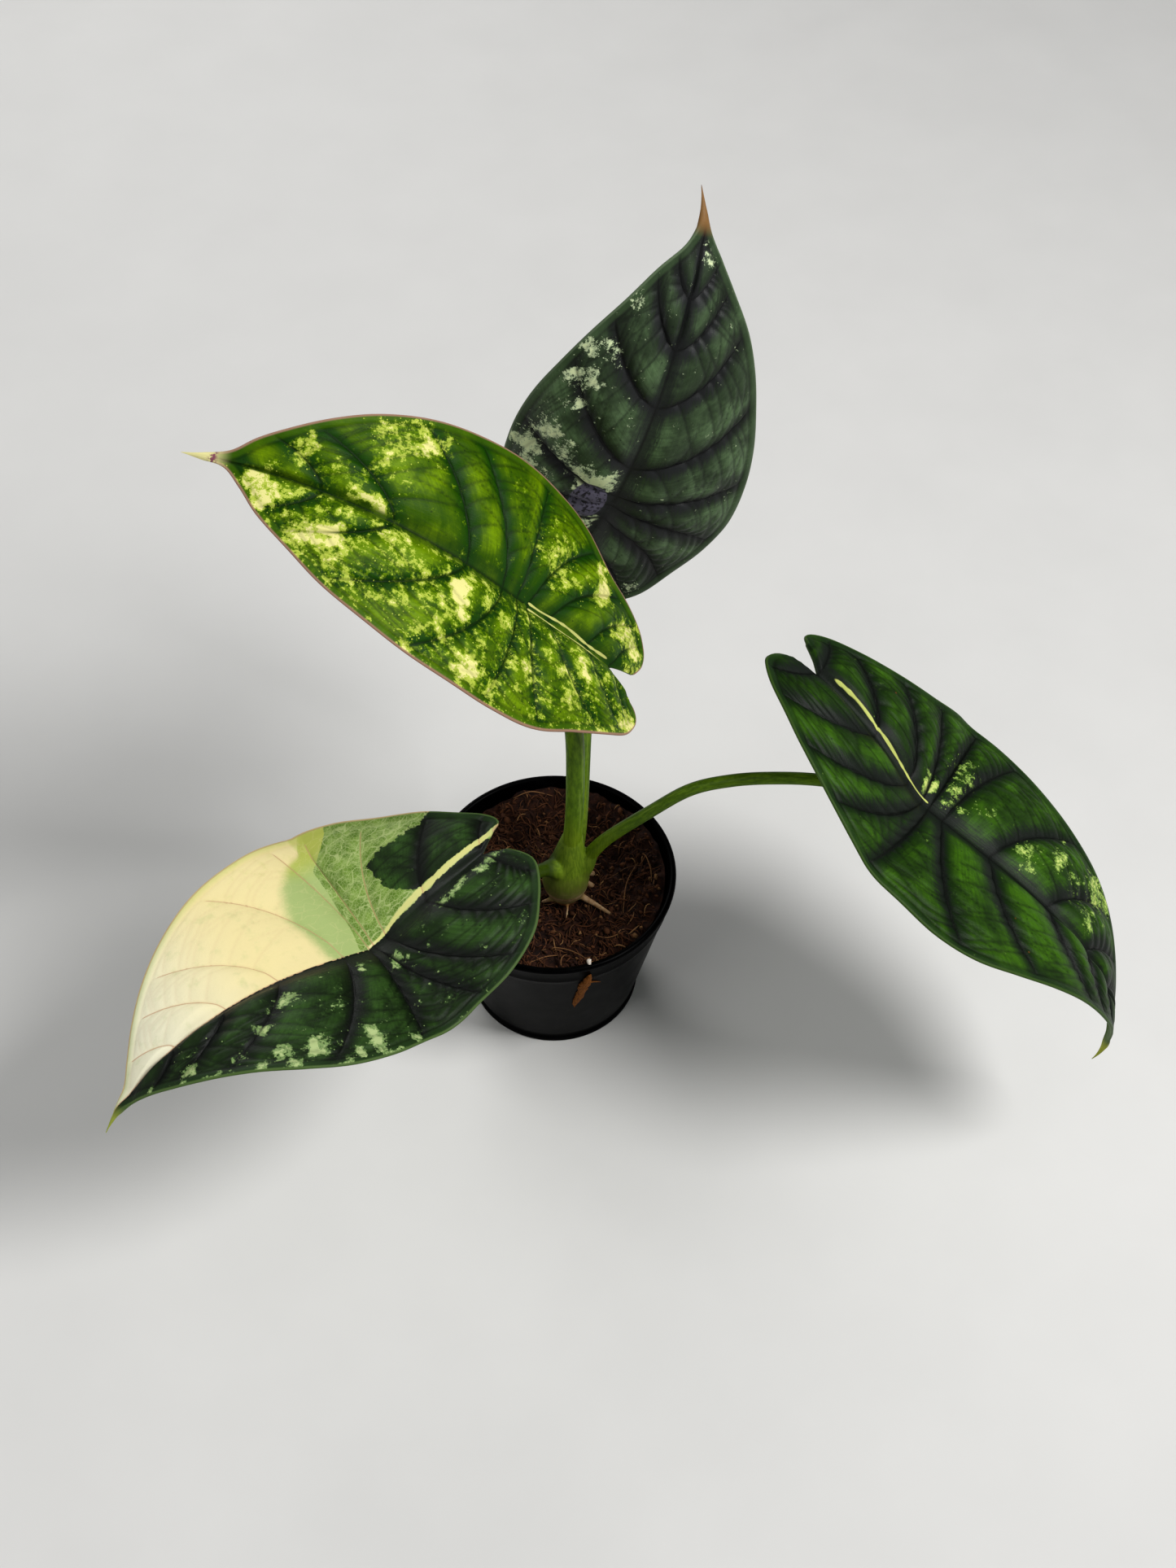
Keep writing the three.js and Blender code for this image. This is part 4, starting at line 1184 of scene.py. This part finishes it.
def marbling_group():
    """Jagged pale splashes and loose specks, as thick as Pale says. Dust is the half
    tone round a splash and Core its palest part."""
    tree, nodes, given, result = new_group(
        "leaf marbling", ["Place", "Pale", "Hatch", "Ragged", "Fray"],
        ["Dust", "Splash", "Speck", "Core"])
    cloud = nodes.noise(given["Place"], 0.2, 9, 0.68)
    fine = nodes.noise(given["Place"], 0.75, 7, 0.75)
    value = nodes.swing(cloud, given["Ragged"], given["Pale"])
    value = nodes.swing(given["Hatch"], 0.1, value)
    dusty = nodes.swing(fine, 1.3, value)
    sharp = nodes.swing(fine, given["Fray"], value)
    nodes.feed(result["Dust"], nodes.ease(dusty, 0.34, 0.42))
    nodes.feed(result["Splash"], nodes.ease(sharp, 0.52, 0.555))
    nodes.feed(result["Core"], nodes.ease(sharp, 0.7, 0.77))
    spots = nodes.cells(given["Place"], 1.1)
    dot = nodes.ease(spots["Distance"], 0.3, 0.18)
    random = nodes.split(spots["Color"])["X"]
    chosen = nodes.math("LESS_THAN", random, nodes.math("MULTIPLY_ADD", given["Pale"], 0.6, -0.06))
    nodes.feed(result["Speck"], nodes.times(dot, chosen))
    return tree


def net_group():
    """The net of the finest veins: wide meshes across the panels, small ones in them."""
    tree, nodes, given, result = new_group("vein net", ["Place", "Run", "Near", "Panel"],
                                           ["Wide", "Small"])
    run = nodes.math("ADD", given["Run"], nodes.swing(nodes.noise(given["Place"], 0.25, 2), 5))
    across = nodes.vector(run, nodes.times(given["Near"], 0.5),
                          nodes.times(given["Panel"], PANEL_STEP))
    wide = nodes.cells(across, 0.3, "DISTANCE_TO_EDGE")["Distance"]
    small = nodes.cells(given["Place"], 0.95, "DISTANCE_TO_EDGE")["Distance"]
    nodes.feed(result["Wide"], nodes.ease(wide, 0.042, 0.012))
    nodes.feed(result["Small"], nodes.ease(small, 0.09, 0.02))
    return tree


def tissue_group():
    """How light the green is between the veins, its dark dots, a rare rusty speck and
    its surface grain."""
    tree, nodes, given, result = new_group("leaf tissue", ["Place", "Near", "Hatch", "Streak"],
                                           ["Light", "Dot", "Rust", "Grain"])
    cloud = nodes.ease(nodes.noise(given["Place"], 0.08, 3), 0.38, 0.64)
    small = nodes.noise(given["Place"], 0.8, 4, 0.65)
    centre = nodes.ease(given["Near"], 0.8, 6.5)
    light = nodes.times(centre, nodes.math("MULTIPLY_ADD", cloud, 0.8, 0.25))
    light = nodes.times(light, nodes.math("MULTIPLY_ADD", small, 0.8, 0.55))
    light = nodes.times(light, nodes.math("MULTIPLY_ADD", given["Hatch"], 0.3, 0.7))
    light = nodes.times(light, nodes.math("MULTIPLY_ADD", given["Streak"], 0.5, 0.75))
    nodes.feed(result["Light"], light)
    spots = nodes.cells(given["Place"], 0.5)
    random = nodes.split(spots["Color"])["Y"]
    dot = nodes.times(nodes.ease(spots["Distance"], 0.2, 0.1),
                      nodes.math("LESS_THAN", random, 0.3))
    nodes.feed(result["Dot"], dot)
    rare = nodes.cells(given["Place"], 0.16)
    chosen = nodes.math("LESS_THAN", nodes.split(rare["Color"])["Z"], 0.07)
    fleck = nodes.times(nodes.ease(rare["Distance"], 0.14, 0.1), chosen)
    nodes.feed(result["Rust"], fleck)
    pores = nodes.noise(given["Place"], 3.2, 3, 0.6)
    nodes.feed(result["Grain"], nodes.math("MULTIPLY_ADD", small, 0.7, pores))
    return tree


# Blade colours, as screen values
BLADE_COLOURS = {
    1: dict(deep=(28, 64, 1), light=(108, 140, 2), shade=(32, 56, 22), vein=(16, 34, 8),
            dust=(104, 136, 8), pale=(172, 190, 66), core=(232, 226, 142), rim=(58, 90, 5),
            edge=(150, 116, 96), tip=(226, 218, 150), under=(100, 128, 52)),
    2: dict(deep=(24, 34, 20), light=(84, 108, 72), shade=(33, 33, 36), vein=(10, 11, 10),
            dust=(62, 78, 54), pale=(178, 194, 152), core=(208, 218, 168), rim=(52, 70, 44),
            edge=(80, 96, 70), tip=(124, 90, 50), under=(76, 90, 66)),
    3: dict(deep=(18, 28, 13), light=(50, 78, 32), shade=(24, 27, 24), vein=(6, 8, 4),
            dust=(44, 66, 30), pale=(108, 136, 78), core=(168, 186, 124), rim=(32, 50, 25),
            edge=(72, 94, 48), tip=(150, 160, 62), under=(88, 110, 64)),
    4: dict(deep=(18, 36, 6), light=(57, 96, 12), shade=(26, 29, 27), vein=(9, 12, 7),
            dust=(52, 80, 24), pale=(120, 152, 66), core=(196, 210, 116), rim=(28, 48, 20),
            edge=(54, 76, 32), tip=(146, 152, 42), under=(80, 104, 52)),
}
# How far the dark band beside the veins covers the green, how far the net of fine veins
# shows in a splash, and how far behind the tip its own colour begins
SHADE = {1: 0.55, 2: 0.85, 3: 0.85, 4: 0.9}
NET_IN_SPLASH = {1: 0.15, 2: 0.3, 3: 1.0, 4: 0.3}
TIP_FADE = {1: (16, 8), 2: (14, 9), 3: (12, 5), 4: (15, 9)}
# How frayed the edges of the splashes are
FRAY = {1: 1.0, 2: 2.4, 3: 1.3, 4: 1.6}
# How much the blades shine and how rough they are at least
SHINE = {1: 0.06, 2: 0.22, 3: 0.13, 4: 0.1}
ROUGHNESS = {1: 0.36, 2: 0.4, 3: 0.36, 4: 0.36}
# Strength of the bumps, and on the blades their height in mm too
BLADE_BUMP = (0.35, 0.2)
PLAIN_BUMP = 0.6
# What each vector kept at a blade's vertices holds
KEPT_VALUES = {"leaf": ("along", "out", "rim"), "vein": ("band", "line", "under"),
               "panel": ("run", "near", "row"), "tone": ("pale", "ivory", "seam")}
# How far apart the panels lie in the patterns
PANEL_STEP = 3.7
# The cream seams of blades 1 and 4, the purple patch of blade 2 and the painted shade in
# its folds, the rust and the blades that have it, the blots at blade 1's tip, and blade 3's
# pale half
SEAM = {1: tint(200, 200, 116), 2: tint(88, 84, 100), 4: tint(196, 204, 108)}
FOLD_SHADE = tint(30, 28, 34)
RUST = tint(176, 92, 52)
RUSTY = (2, 4)
TIP_BLOTS = tint(128, 74, 88)
IVORY_TIP = tint(235, 231, 200)
IVORY = tint(232, 216, 157)
IVORY_MARGIN = tint(196, 170, 122)
BAND = tint(206, 204, 126)
SAGE = tint(162, 180, 112)
OLIVE = tint(176, 184, 86)
NET_GREEN = tint(120, 148, 68)
NET_DARK = tint(86, 116, 42)
NET_THREAD = tint(178, 192, 126)
IVORY_VEIN = tint(186, 142, 108)
NET_VEIN = tint(158, 140, 92)
# Petioles, crown and roots
STALK_DEEP, STALK_LIGHT = tint(60, 85, 8), tint(82, 110, 20)
STALK_STRIPE, STALK_BLOTCH = tint(112, 136, 52), tint(44, 66, 14)
FOOT_DEEP, FOOT_LIGHT = tint(82, 106, 14), tint(106, 130, 28)
# Painted shade: the dark green laid over the petioles that leave to the left and right
SIDE_SHADE_GREEN = tint(36, 52, 6)
CROWN_OLIVE, CROWN_TAN, CROWN_BROWN = tint(94, 98, 42), tint(150, 136, 86), tint(134, 84, 46)
ROOT_PALE, ROOT_TAN, ROOT_END = tint(178, 148, 112), tint(142, 104, 68), tint(112, 76, 44)
# Coir, pot, loose dirt and floor
COIR_DARK, COIR_BROWN, COIR_GRAIN = tint(25, 12, 7), tint(51, 28, 17), tint(84, 54, 34)
STRAND_DARK, STRAND_BROWN = tint(40, 21, 12), tint(98, 60, 36)
STRAND_PALE, STRAND_DIRT = tint(160, 118, 76), tint(30, 17, 11)
PLASTIC_BLACK, PLASTIC_DUST = tint(4, 4, 5), tint(13, 13, 14)
PLASTIC_SCUFF = tint(58, 54, 52)
PERLITE_GREY, PERLITE_WHITE = tint(206, 192, 176), tint(238, 228, 214)
BARK_DARK, BARK_LIGHT = tint(66, 34, 10), tint(122, 76, 34)
FLOOR_GREY, FLOOR_PALE = tint(206, 205, 202), tint(214, 213, 210)


def blade_inputs(nodes, number, groups):
    """What a blade's colours are mixed by, as named sockets: the values kept at its
    vertices, its place in the patterns and the four pattern groups."""
    at = {}
    for vector, names in KEPT_VALUES.items():
        at.update(zip(names, nodes.split(nodes.attribute(vector))))
    if number == 3:
        left = nodes.math("GREATER_THAN", at["row"], 0.0)
        at["splashed"] = nodes.times(at["pale"], left)
    else:
        at["splashed"] = at["pale"]
    at["spot"] = spot = nodes.vector(at["along"], at["out"], number * 17.0)
    panel = dict(Run=at["run"], Near=at["near"], Panel=at["row"])
    at["comb"] = nodes.group(groups["comb"], **panel)
    hatch, streak = at["comb"]["Hatch"], at["comb"]["Streak"]
    at["tissue"] = nodes.group(groups["tissue"], Place=spot, Near=at["near"], Hatch=hatch,
                               Streak=streak)
    at["marbling"] = nodes.group(groups["marbling"], Place=spot, Pale=at["splashed"],
                                 Hatch=hatch, Ragged=2.0, Fray=FRAY[number])
    at["net"] = nodes.group(groups["net"], Place=spot, **panel)
    return at


def green_colour(nodes, number, at, paint):
    """The green between the veins, the dark band beside them and the raised rim."""
    tissue = at["tissue"]
    colour = nodes.mix(tissue["Light"], paint["deep"], paint["light"])
    colour = nodes.mix(nodes.times(tissue["Dot"], 0.6), colour, paint["vein"])
    dust = nodes.times(at["marbling"]["Dust"], 0.75)
    colour = nodes.mix(dust, colour, paint["dust"])
    ragged = nodes.swing(at["comb"]["Hatch"], 0.6, at["band"])
    shade = nodes.times(nodes.ease(ragged, 0.15, 0.95), SHADE[number])
    colour = nodes.mix(shade, colour, paint["shade"])
    outside = nodes.ease(at["rim"], RIM_WIDTH + 0.2, RIM_WIDTH - 0.9)
    patchy = nodes.math("MULTIPLY_ADD", nodes.noise(at["spot"], 0.25, 3), 0.8, 0.3)
    return nodes.mix(nodes.times(outside, patchy), colour, paint["rim"])


def splash_colour(nodes, number, at, paint, green):
    """The pale splashes over the green, and a mask of where they are."""
    marbling, net = at["marbling"], at["net"]
    splash = nodes.math("MAXIMUM", marbling["Splash"], marbling["Speck"])
    light = nodes.mix(marbling["Core"], paint["pale"], paint["core"])
    meshes = nodes.math("MAXIMUM", nodes.times(net["Wide"], 0.5),
                        nodes.times(net["Small"], 0.3))
    meshes = nodes.times(meshes, NET_IN_SPLASH[number])
    light = nodes.mix(meshes, light, paint["core"])
    shown = nodes.times(splash, nodes.ease(at["band"], 1.0, 0.8))
    return nodes.mix(shown, green, light), splash


def seam_colour(nodes, number, at, base):
    """The pale seam, or the purple patch of blade 2 with painted shade in its folds, over the
    base colour, and a mask of where it shows."""
    shown = nodes.ease(at["seam"], 0.48, 0.72)
    seam = SEAM[number]
    if number == 2:
        # Painted shade: dark lines where the folds of the wrinkled patch would lie in shade
        fold_shade = nodes.ease(nodes.noise(at["spot"], 0.7, 5, 0.7), 0.5, 0.42)
        seam = nodes.mix(fold_shade, seam, FOLD_SHADE)
    return nodes.mix(shown, base, seam), shown


def tip_colour(nodes, number, at, paint, base):
    """The drip tip's own colour over the rest, with purple blots behind that of blade 1."""
    along, end = at["along"], LEAVES[number]["length"]
    first, full = TIP_FADE[number]
    colour = nodes.mix(nodes.ease(along, end - first, end - full), base, paint["tip"])
    if number != 1:
        return colour
    ring = nodes.times(nodes.ease(along, end - 12, end - 10.5),
                       nodes.ease(along, end - 8, end - 9.5))
    blots = nodes.ease(nodes.noise(at["spot"], 0.9, 2), 0.42, 0.55)
    return nodes.mix(nodes.times(ring, blots), colour, TIP_BLOTS)


def blade_colour(nodes, number, groups):
    """The colour of a blade and its bump height."""
    paint = {key: tint(*value) for key, value in BLADE_COLOURS[number].items()}
    at = blade_inputs(nodes, number, groups)
    colour = green_colour(nodes, number, at, paint)
    colour, splash = splash_colour(nodes, number, at, paint, colour)
    if number == 3:
        colour, special = sector_colour(nodes, at, colour)
    else:
        colour, special = seam_colour(nodes, number, at, colour)
    veins = nodes.times(at["line"], nodes.math("MULTIPLY_ADD", special, -1.0, 0.85))
    veins = nodes.times(veins, nodes.math("MULTIPLY_ADD", splash, -0.45, 1.0))
    colour = nodes.mix(nodes.math("MAXIMUM", veins, 0.0), colour, paint["vein"])
    if number in RUSTY:
        colour = nodes.mix(at["tissue"]["Rust"], colour, RUST)
    margin = nodes.ease(at["rim"], 0.8, 0.15)
    colour = nodes.mix(margin, colour, paint["edge"])
    if number == 3:
        colour = nodes.mix(nodes.times(margin, special), colour, IVORY_MARGIN)
    colour = nodes.mix(nodes.times(at["under"], 0.75), colour, paint["under"])
    colour = tip_colour(nodes, number, at, paint, colour)
    return colour, nodes.math("MULTIPLY_ADD", at["comb"]["Hatch"], 0.5, at["tissue"]["Grain"])


def sector_colour(nodes, at, base):
    """The pale half of blade 3 over its base colour, and a mask of where it shows. There
    "pale", "ivory" and "seam" hold the three distances of sector_values."""
    jag = nodes.swing(nodes.noise(at["spot"], 0.5, 7, 0.75), 1.7)
    bays = nodes.swing(nodes.noise(at["spot"], 0.22, 3), 2.2, jag)
    dark = nodes.ease(nodes.math("ADD", at["pale"], bays), -0.05, 0.05)
    green_part = nodes.ease(nodes.math("ADD", at["seam"], jag), -0.15, 0.15)
    ivory_part = nodes.ease(nodes.math("MULTIPLY_ADD", jag, 3.0, at["ivory"]), -3.0, 3.5)
    band = nodes.ease(nodes.math("MULTIPLY_ADD", jag, 0.3, at["ivory"]), 0.0, 0.3)
    band = nodes.times(band, nodes.ease(at["along"], 0.0, -2.0))
    ivory_part = nodes.math("MAXIMUM", ivory_part, band)
    cloud = nodes.noise(at["spot"], 0.25, 4, 0.6)
    lateral = nodes.ease(at["line"], 0.7, 0.92)
    olive, cream = olive_and_cream(nodes, at, cloud)
    pale = nodes.mix(ivory_part, olive, cream)
    pale = nodes.mix(nodes.times(lateral, 0.75), pale, IVORY_VEIN)
    pale = nodes.mix(green_part, pale, netted_green(nodes, at, cloud, lateral))
    right = nodes.math("LESS_THAN", at["row"], 0.0)
    shown = nodes.times(right, nodes.math("SUBTRACT", 1.0, dark))
    return nodes.mix(shown, base, pale), shown


def netted_green(nodes, at, cloud, lateral):
    """The green part of the pale half, with its net of pale veins."""
    net = at["net"]
    green = nodes.mix(nodes.ease(cloud, 0.35, 0.65), NET_DARK, NET_GREEN)
    green = nodes.mix(nodes.times(net["Small"], 0.42), green, NET_THREAD)
    green = nodes.mix(nodes.times(net["Wide"], 0.6), green, NET_THREAD)
    green = nodes.mix(nodes.times(at["line"], 0.5), green, NET_THREAD)
    return nodes.mix(lateral, green, NET_VEIN)


def olive_and_cream(nodes, at, cloud):
    """The olive and the ivory of the pale half."""
    far_out = nodes.ease(at["out"], -32, -44)
    olive = nodes.mix(far_out, SAGE, OLIVE)
    olive = nodes.mix(nodes.times(at["net"]["Wide"], 0.14), olive, IVORY)
    cream = nodes.mix(nodes.ease(at["along"], 35, 85), IVORY, IVORY_TIP)
    cream = nodes.mix(nodes.ease(at["along"], -2, -6), cream, BAND)
    cream = nodes.mix(nodes.times(nodes.ease(cloud, 0.5, 0.8), 0.3), cream, olive)
    cream = nodes.mix(nodes.times(nodes.ease(at["rim"], 3.5, 0.5), 0.5), cream, olive)
    return olive, nodes.mix(nodes.times(at["line"], 0.16), cream, IVORY_VEIN)


def new_material(name, colour_of, roughness, bump, **settings):
    """A material whose colour and height come from colour_of(nodes). The height moves its
    roughness between two values, and bump is (strength, height in mm)."""
    material = bpy.data.materials.new(name)
    material.use_nodes = True
    nodes = Nodes(material.node_tree)
    shader = material.node_tree.nodes["Principled BSDF"]
    colour, height = colour_of(nodes)
    nodes.feed(shader.inputs["Base Color"], colour)
    low, high = roughness
    nodes.feed(shader.inputs["Roughness"], nodes.math("MULTIPLY_ADD", height, high - low, low))
    strength, deep = bump
    normal = nodes.add("Bump", Strength=strength, Distance=deep * MM, Height=height)
    nodes.feed(shader.inputs["Normal"], normal.outputs[0])
    for key, value in settings.items():
        shader.inputs[key.replace("_", " ")].default_value = value
    return material


def blade_material(number, groups):
    """One blade's skin."""
    low = ROUGHNESS[number]
    return new_material(f"blade {number}", lambda nodes: blade_colour(nodes, number, groups),
                        (low, low + 0.08), BLADE_BUMP, Specular_IOR_Level=SHINE[number])


def plain_material(name, colour_of, roughness, bump_depth, **settings):
    """A material whose colour and height come from colour_of(nodes, place in mm)."""
    def placed(nodes):
        scaled = nodes.add("VectorMath")
        scaled.operation = "SCALE"
        nodes.feed(scaled.inputs[0], nodes.add("TexCoord").outputs["Object"])
        scaled.inputs["Scale"].default_value = 1000
        return colour_of(nodes, scaled.outputs[0])

    return new_material(name, placed, roughness, (PLAIN_BUMP, bump_depth), **settings)


def foot_green(nodes, spot):
    """The colour that a petiole's foot shares with the crown, and its fine fibres."""
    stretched = nodes.add("Mapping", Vector=spot, Scale=(1.3, 1.3, 0.12)).outputs[0]
    fibres = nodes.noise(stretched, 1, 4, 0.6)
    return nodes.mix(nodes.ease(fibres, 0.35, 0.65), FOOT_DEEP, FOOT_LIGHT), fibres


def painted_side_shade(nodes, spot, colour):
    """Painted shade: the petioles that leave the crown to the left and right, and the crown beside
    them, get a darker green for the shade they lie in.
    """
    x, _, z = nodes.split(spot)
    right = nodes.times(nodes.ease(x, 10.5, 15), 0.34)
    aside = nodes.math("MAXIMUM", nodes.ease(x, 2.5, -1), right)
    aside = nodes.times(aside, nodes.ease(z, 130, 110))
    aside = nodes.times(aside, nodes.ease(z, 70, 77))
    return nodes.mix(nodes.times(aside, 0.9), colour, SIDE_SHADE_GREEN)


def stalk_colour(nodes, spot):
    """Green with faint streaks and paler stripes along the stem, and painted shade on the petioles
    that leave to the left and right.
    """
    length, turn = nodes.split(nodes.attribute("stem"))[:2]
    x, y = nodes.math("COSINE", turn), nodes.math("SINE", turn)
    streak = nodes.vector(nodes.times(length, 0.1), x, y)
    streak = nodes.noise(streak, 2.6, 4, 0.6)
    stripe = nodes.vector(nodes.times(length, 0.012), x, y)
    stripe = nodes.times(nodes.ease(nodes.noise(stripe, 1.4, 3, 0.6), 0.55, 0.6), 0.5)
    mottle = nodes.noise(spot, 0.5, 4, 0.65)
    colour = nodes.mix(nodes.ease(streak, 0.35, 0.65), STALK_DEEP, STALK_LIGHT)
    colour = nodes.mix(stripe, colour, STALK_STRIPE)
    blotch = nodes.times(nodes.ease(mottle, 0.55, 0.66), 0.3)
    colour = nodes.mix(blotch, colour, STALK_BLOTCH)
    foot = foot_green(nodes, spot)[0]
    colour = nodes.mix(nodes.ease(length, 44, 22), colour, foot)
    return painted_side_shade(nodes, spot, colour), nodes.math("MULTIPLY_ADD", streak, 0.6, mottle)


def crown_colour(nodes, spot):
    """The petioles' green above, olive and tan below, with brown at the soil and pale
    tan roots."""
    x, y, height = nodes.split(spot)
    mottle = nodes.noise(spot, 0.45, 4, 0.65)
    colour, fibres = foot_green(nodes, spot)
    wavy = nodes.swing(mottle, 9, height)
    # Painted shade on the crown's sides and the feet of the petioles that leave to the left and
    # right
    colour = painted_side_shade(nodes, spot, colour)
    olive = nodes.times(nodes.ease(wavy, 80, 70), 0.75)
    colour = nodes.mix(olive, colour, CROWN_OLIVE)
    colour = nodes.mix(nodes.ease(wavy, 72, 61), colour, CROWN_TAN)
    colour = nodes.mix(nodes.ease(wavy, 62.5, 59), colour, CROWN_BROWN)
    away = nodes.add("VectorMath")
    away.operation = "DISTANCE"
    nodes.feed(away.inputs[0], nodes.vector(x, y, 0.0))
    away.inputs[1].default_value = (*CROWN_AT, 0)
    distance = away.outputs["Value"]
    root = nodes.times(nodes.ease(distance, 7, 8.5), nodes.ease(height, 67, 65.5))
    tan = nodes.mix(nodes.ease(mottle, 0.4, 0.65), ROOT_PALE, ROOT_TAN)
    tan = nodes.mix(nodes.ease(distance, 15, 20), tan, ROOT_END)
    colour = nodes.mix(root, colour, tan)
    return colour, nodes.math("MULTIPLY_ADD", fibres, 0.8, mottle)


def coir_colour(nodes, spot):
    """Dark brown with cloudy patches and paler grain."""
    cloud = nodes.noise(spot, 0.35, 4, 0.6)
    grain = nodes.noise(spot, 2.2, 5, 0.7)
    colour = nodes.mix(nodes.ease(cloud, 0.35, 0.65), COIR_DARK, COIR_BROWN)
    return nodes.mix(nodes.ease(grain, 0.55, 0.8), colour, COIR_GRAIN), grain


def strand_colour(nodes, spot):
    """Each strand or crumb has its own brown."""
    shade, paleness, _ = nodes.split(nodes.attribute("strand"))
    grain = nodes.noise(spot, 2.5, 3, 0.6)
    colour = nodes.mix(shade, STRAND_DARK, STRAND_BROWN)
    pale = nodes.times(nodes.ease(paleness, 0.88, 0.97), 0.8)
    colour = nodes.mix(pale, colour, STRAND_PALE)
    return nodes.mix(nodes.times(grain, 0.4), colour, STRAND_DIRT), grain


def plastic_colour(nodes, spot):
    """Black plastic with faint dust and scuffs."""
    dust = nodes.noise(spot, 0.12, 5, 0.65)
    squeezed = nodes.add("Mapping", Vector=spot, Scale=(0.6, 0.6, 2.4)).outputs[0]
    scuff = nodes.noise(squeezed, 1.2, 4, 0.7)
    colour = nodes.mix(nodes.ease(dust, 0.5, 0.8), PLASTIC_BLACK, PLASTIC_DUST)
    worn = nodes.times(nodes.ease(scuff, 0.66, 0.74), 0.2)
    colour = nodes.mix(worn, colour, PLASTIC_SCUFF)
    return colour, nodes.math("MULTIPLY_ADD", scuff, 0.4, dust)


def perlite_colour(nodes, spot):
    """Warm white with grey pores."""
    pores = nodes.noise(spot, 3, 4, 0.7)
    return nodes.mix(pores, PERLITE_GREY, PERLITE_WHITE), pores


def bark_colour(nodes, spot):
    """Brown with a paler grain."""
    grain = nodes.noise(spot, 1.4, 5, 0.7)
    return nodes.mix(nodes.ease(grain, 0.3, 0.7), BARK_DARK, BARK_LIGHT), grain


# Object

def build_plant():
    """The blades, the petioles and the crown."""
    groups = dict(comb=comb_group(), marbling=marbling_group(), tissue=tissue_group(),
                  net=net_group())
    for number in LEAVES:
        finish = blade_material(number, groups)
        place(build_blade(number), finish, f"blade_{number}", f"leaf_{number}")
    stalk = plain_material("petiole skin", stalk_colour, (0.36, 0.5), 0.1,
                           Specular_IOR_Level=0.1)
    for number in PETIOLES:
        place(build_petiole(number), stalk, "petiole", f"petiole_{number}")
    crown = plain_material("crown skin", crown_colour, (0.45, 0.65), 0.15,
                           Specular_IOR_Level=0.2)
    place(build_crown(), crown, "crown", "crown")


def build_base():
    """The soil and what lies on it, the pot and the dirt on the pot."""
    coir = plain_material("coir", coir_colour, (0.8, 0.98), 0.5, Specular_IOR_Level=0.2)
    strands = plain_material("coir strands", strand_colour, (0.75, 0.95), 0.1,
                             Specular_IOR_Level=0.2)
    plastic = plain_material("black plastic", plastic_colour, (0.24, 0.42), 0.04,
                             Specular_IOR_Level=0.02)
    perlite = plain_material("perlite", perlite_colour, (0.85, 1), 0.2)
    bark = plain_material("bark", bark_colour, (0.8, 0.95), 0.2, Specular_IOR_Level=0.1)
    place(build_soil(), coir, "soil", "soil")
    place(build_fibres(), strands, "soil")
    place(build_lumps(), strands, "soil")
    place(build_pot(), plastic, "pot", "pot")
    place(build_perlite(), perlite, "soil")
    place(build_bark(), bark, "soil")


# Floor, light and camera

CAMERA_HEIGHT_ANGLE = 51.5
CAMERA_ROLL = 0.8
CAMERA_AIM = (12.1, 29.8)
CAMERA_AIM_Z = 70
CAMERA_DISTANCE = 797
FOCAL_PIXELS = 2676
PHOTO_LONG_SIDE = 1927
SENSOR = 36
FLOOR_HALF = 1500


def build_camera():
    """The photo's camera: straight from the front, looking down, with a little roll."""
    high = math.radians(CAMERA_HEIGHT_ANGLE)
    roll = math.radians(CAMERA_ROLL)
    back = np.array([0, -math.cos(high), math.sin(high)])
    level, rise = np.array([1, 0, 0]), np.cross(back, [1, 0, 0])
    right = math.cos(roll) * level + math.sin(roll) * rise
    up = -math.sin(roll) * level + math.cos(roll) * rise
    aim = np.array([0, 0, CAMERA_AIM_Z]) + CAMERA_AIM[0] * level + CAMERA_AIM[1] * rise
    camera = bpy.data.objects.new("camera", bpy.data.cameras.new("camera"))
    bpy.context.scene.collection.objects.link(camera)
    camera.matrix_world = Matrix.LocRotScale(
        Vector((aim + back * CAMERA_DISTANCE) * MM),
        Matrix(np.stack([right, up, back], 1).tolist()), None)
    camera.data.sensor_width = SENSOR
    camera.data.lens = FOCAL_PIXELS * SENSOR / PHOTO_LONG_SIDE
    camera.data.clip_start = 0.02
    bpy.context.scene.camera = camera
    bpy.context.scene.view_settings.view_transform = "Standard"


def area_light(name, spot, aim, size, power):
    """A round lamp in metres and watts, turned towards aim."""
    light = bpy.data.lights.new(name, "AREA")
    light.shape = "DISK"
    light.size = size
    light.energy = power
    lamp = bpy.data.objects.new(name, light)
    lamp.location = spot
    lamp.rotation_euler = (Vector(aim) - Vector(spot)).to_track_quat("-Z", "Y").to_euler()
    bpy.context.scene.collection.objects.link(lamp)


def build_studio():
    """The floor, three lamps and a dim sky."""
    far = FLOOR_HALF
    corners = [(-far, -far, 0), (far, -far, 0), (far, far, 0), (-far, far, 0)]
    floor = add_mesh("floor", corners, [[0, 1, 2, 3]])
    floor.data.materials.append(plain_material("pale floor", floor_colour, (0.7, 0.9), 0.05))
    middle = (0.02, 0, 0.12)
    area_light("key light", (0.75, -0.25, 1.1), middle, 0.45, 15)
    area_light("fill light", (-0.9, -0.6, 0.8), middle, 0.9, 5)
    area_light("back light", (-0.4, 0.9, 0.7), middle, 0.6, 4)
    world = bpy.data.worlds.new("studio")
    bpy.context.scene.world = world
    world.use_nodes = True
    sky = world.node_tree.nodes["Background"].inputs
    sky["Color"].default_value = (0.9, 0.92, 0.95, 1)
    sky["Strength"].default_value = 0.2


def floor_colour(nodes, spot):
    """Pale grey with hardly any pattern."""
    grain = nodes.noise(spot, 0.02, 3)
    return nodes.mix(grain, FLOOR_GREY, FLOOR_PALE), grain


build_camera()
build_studio()
build_plant()
build_base()
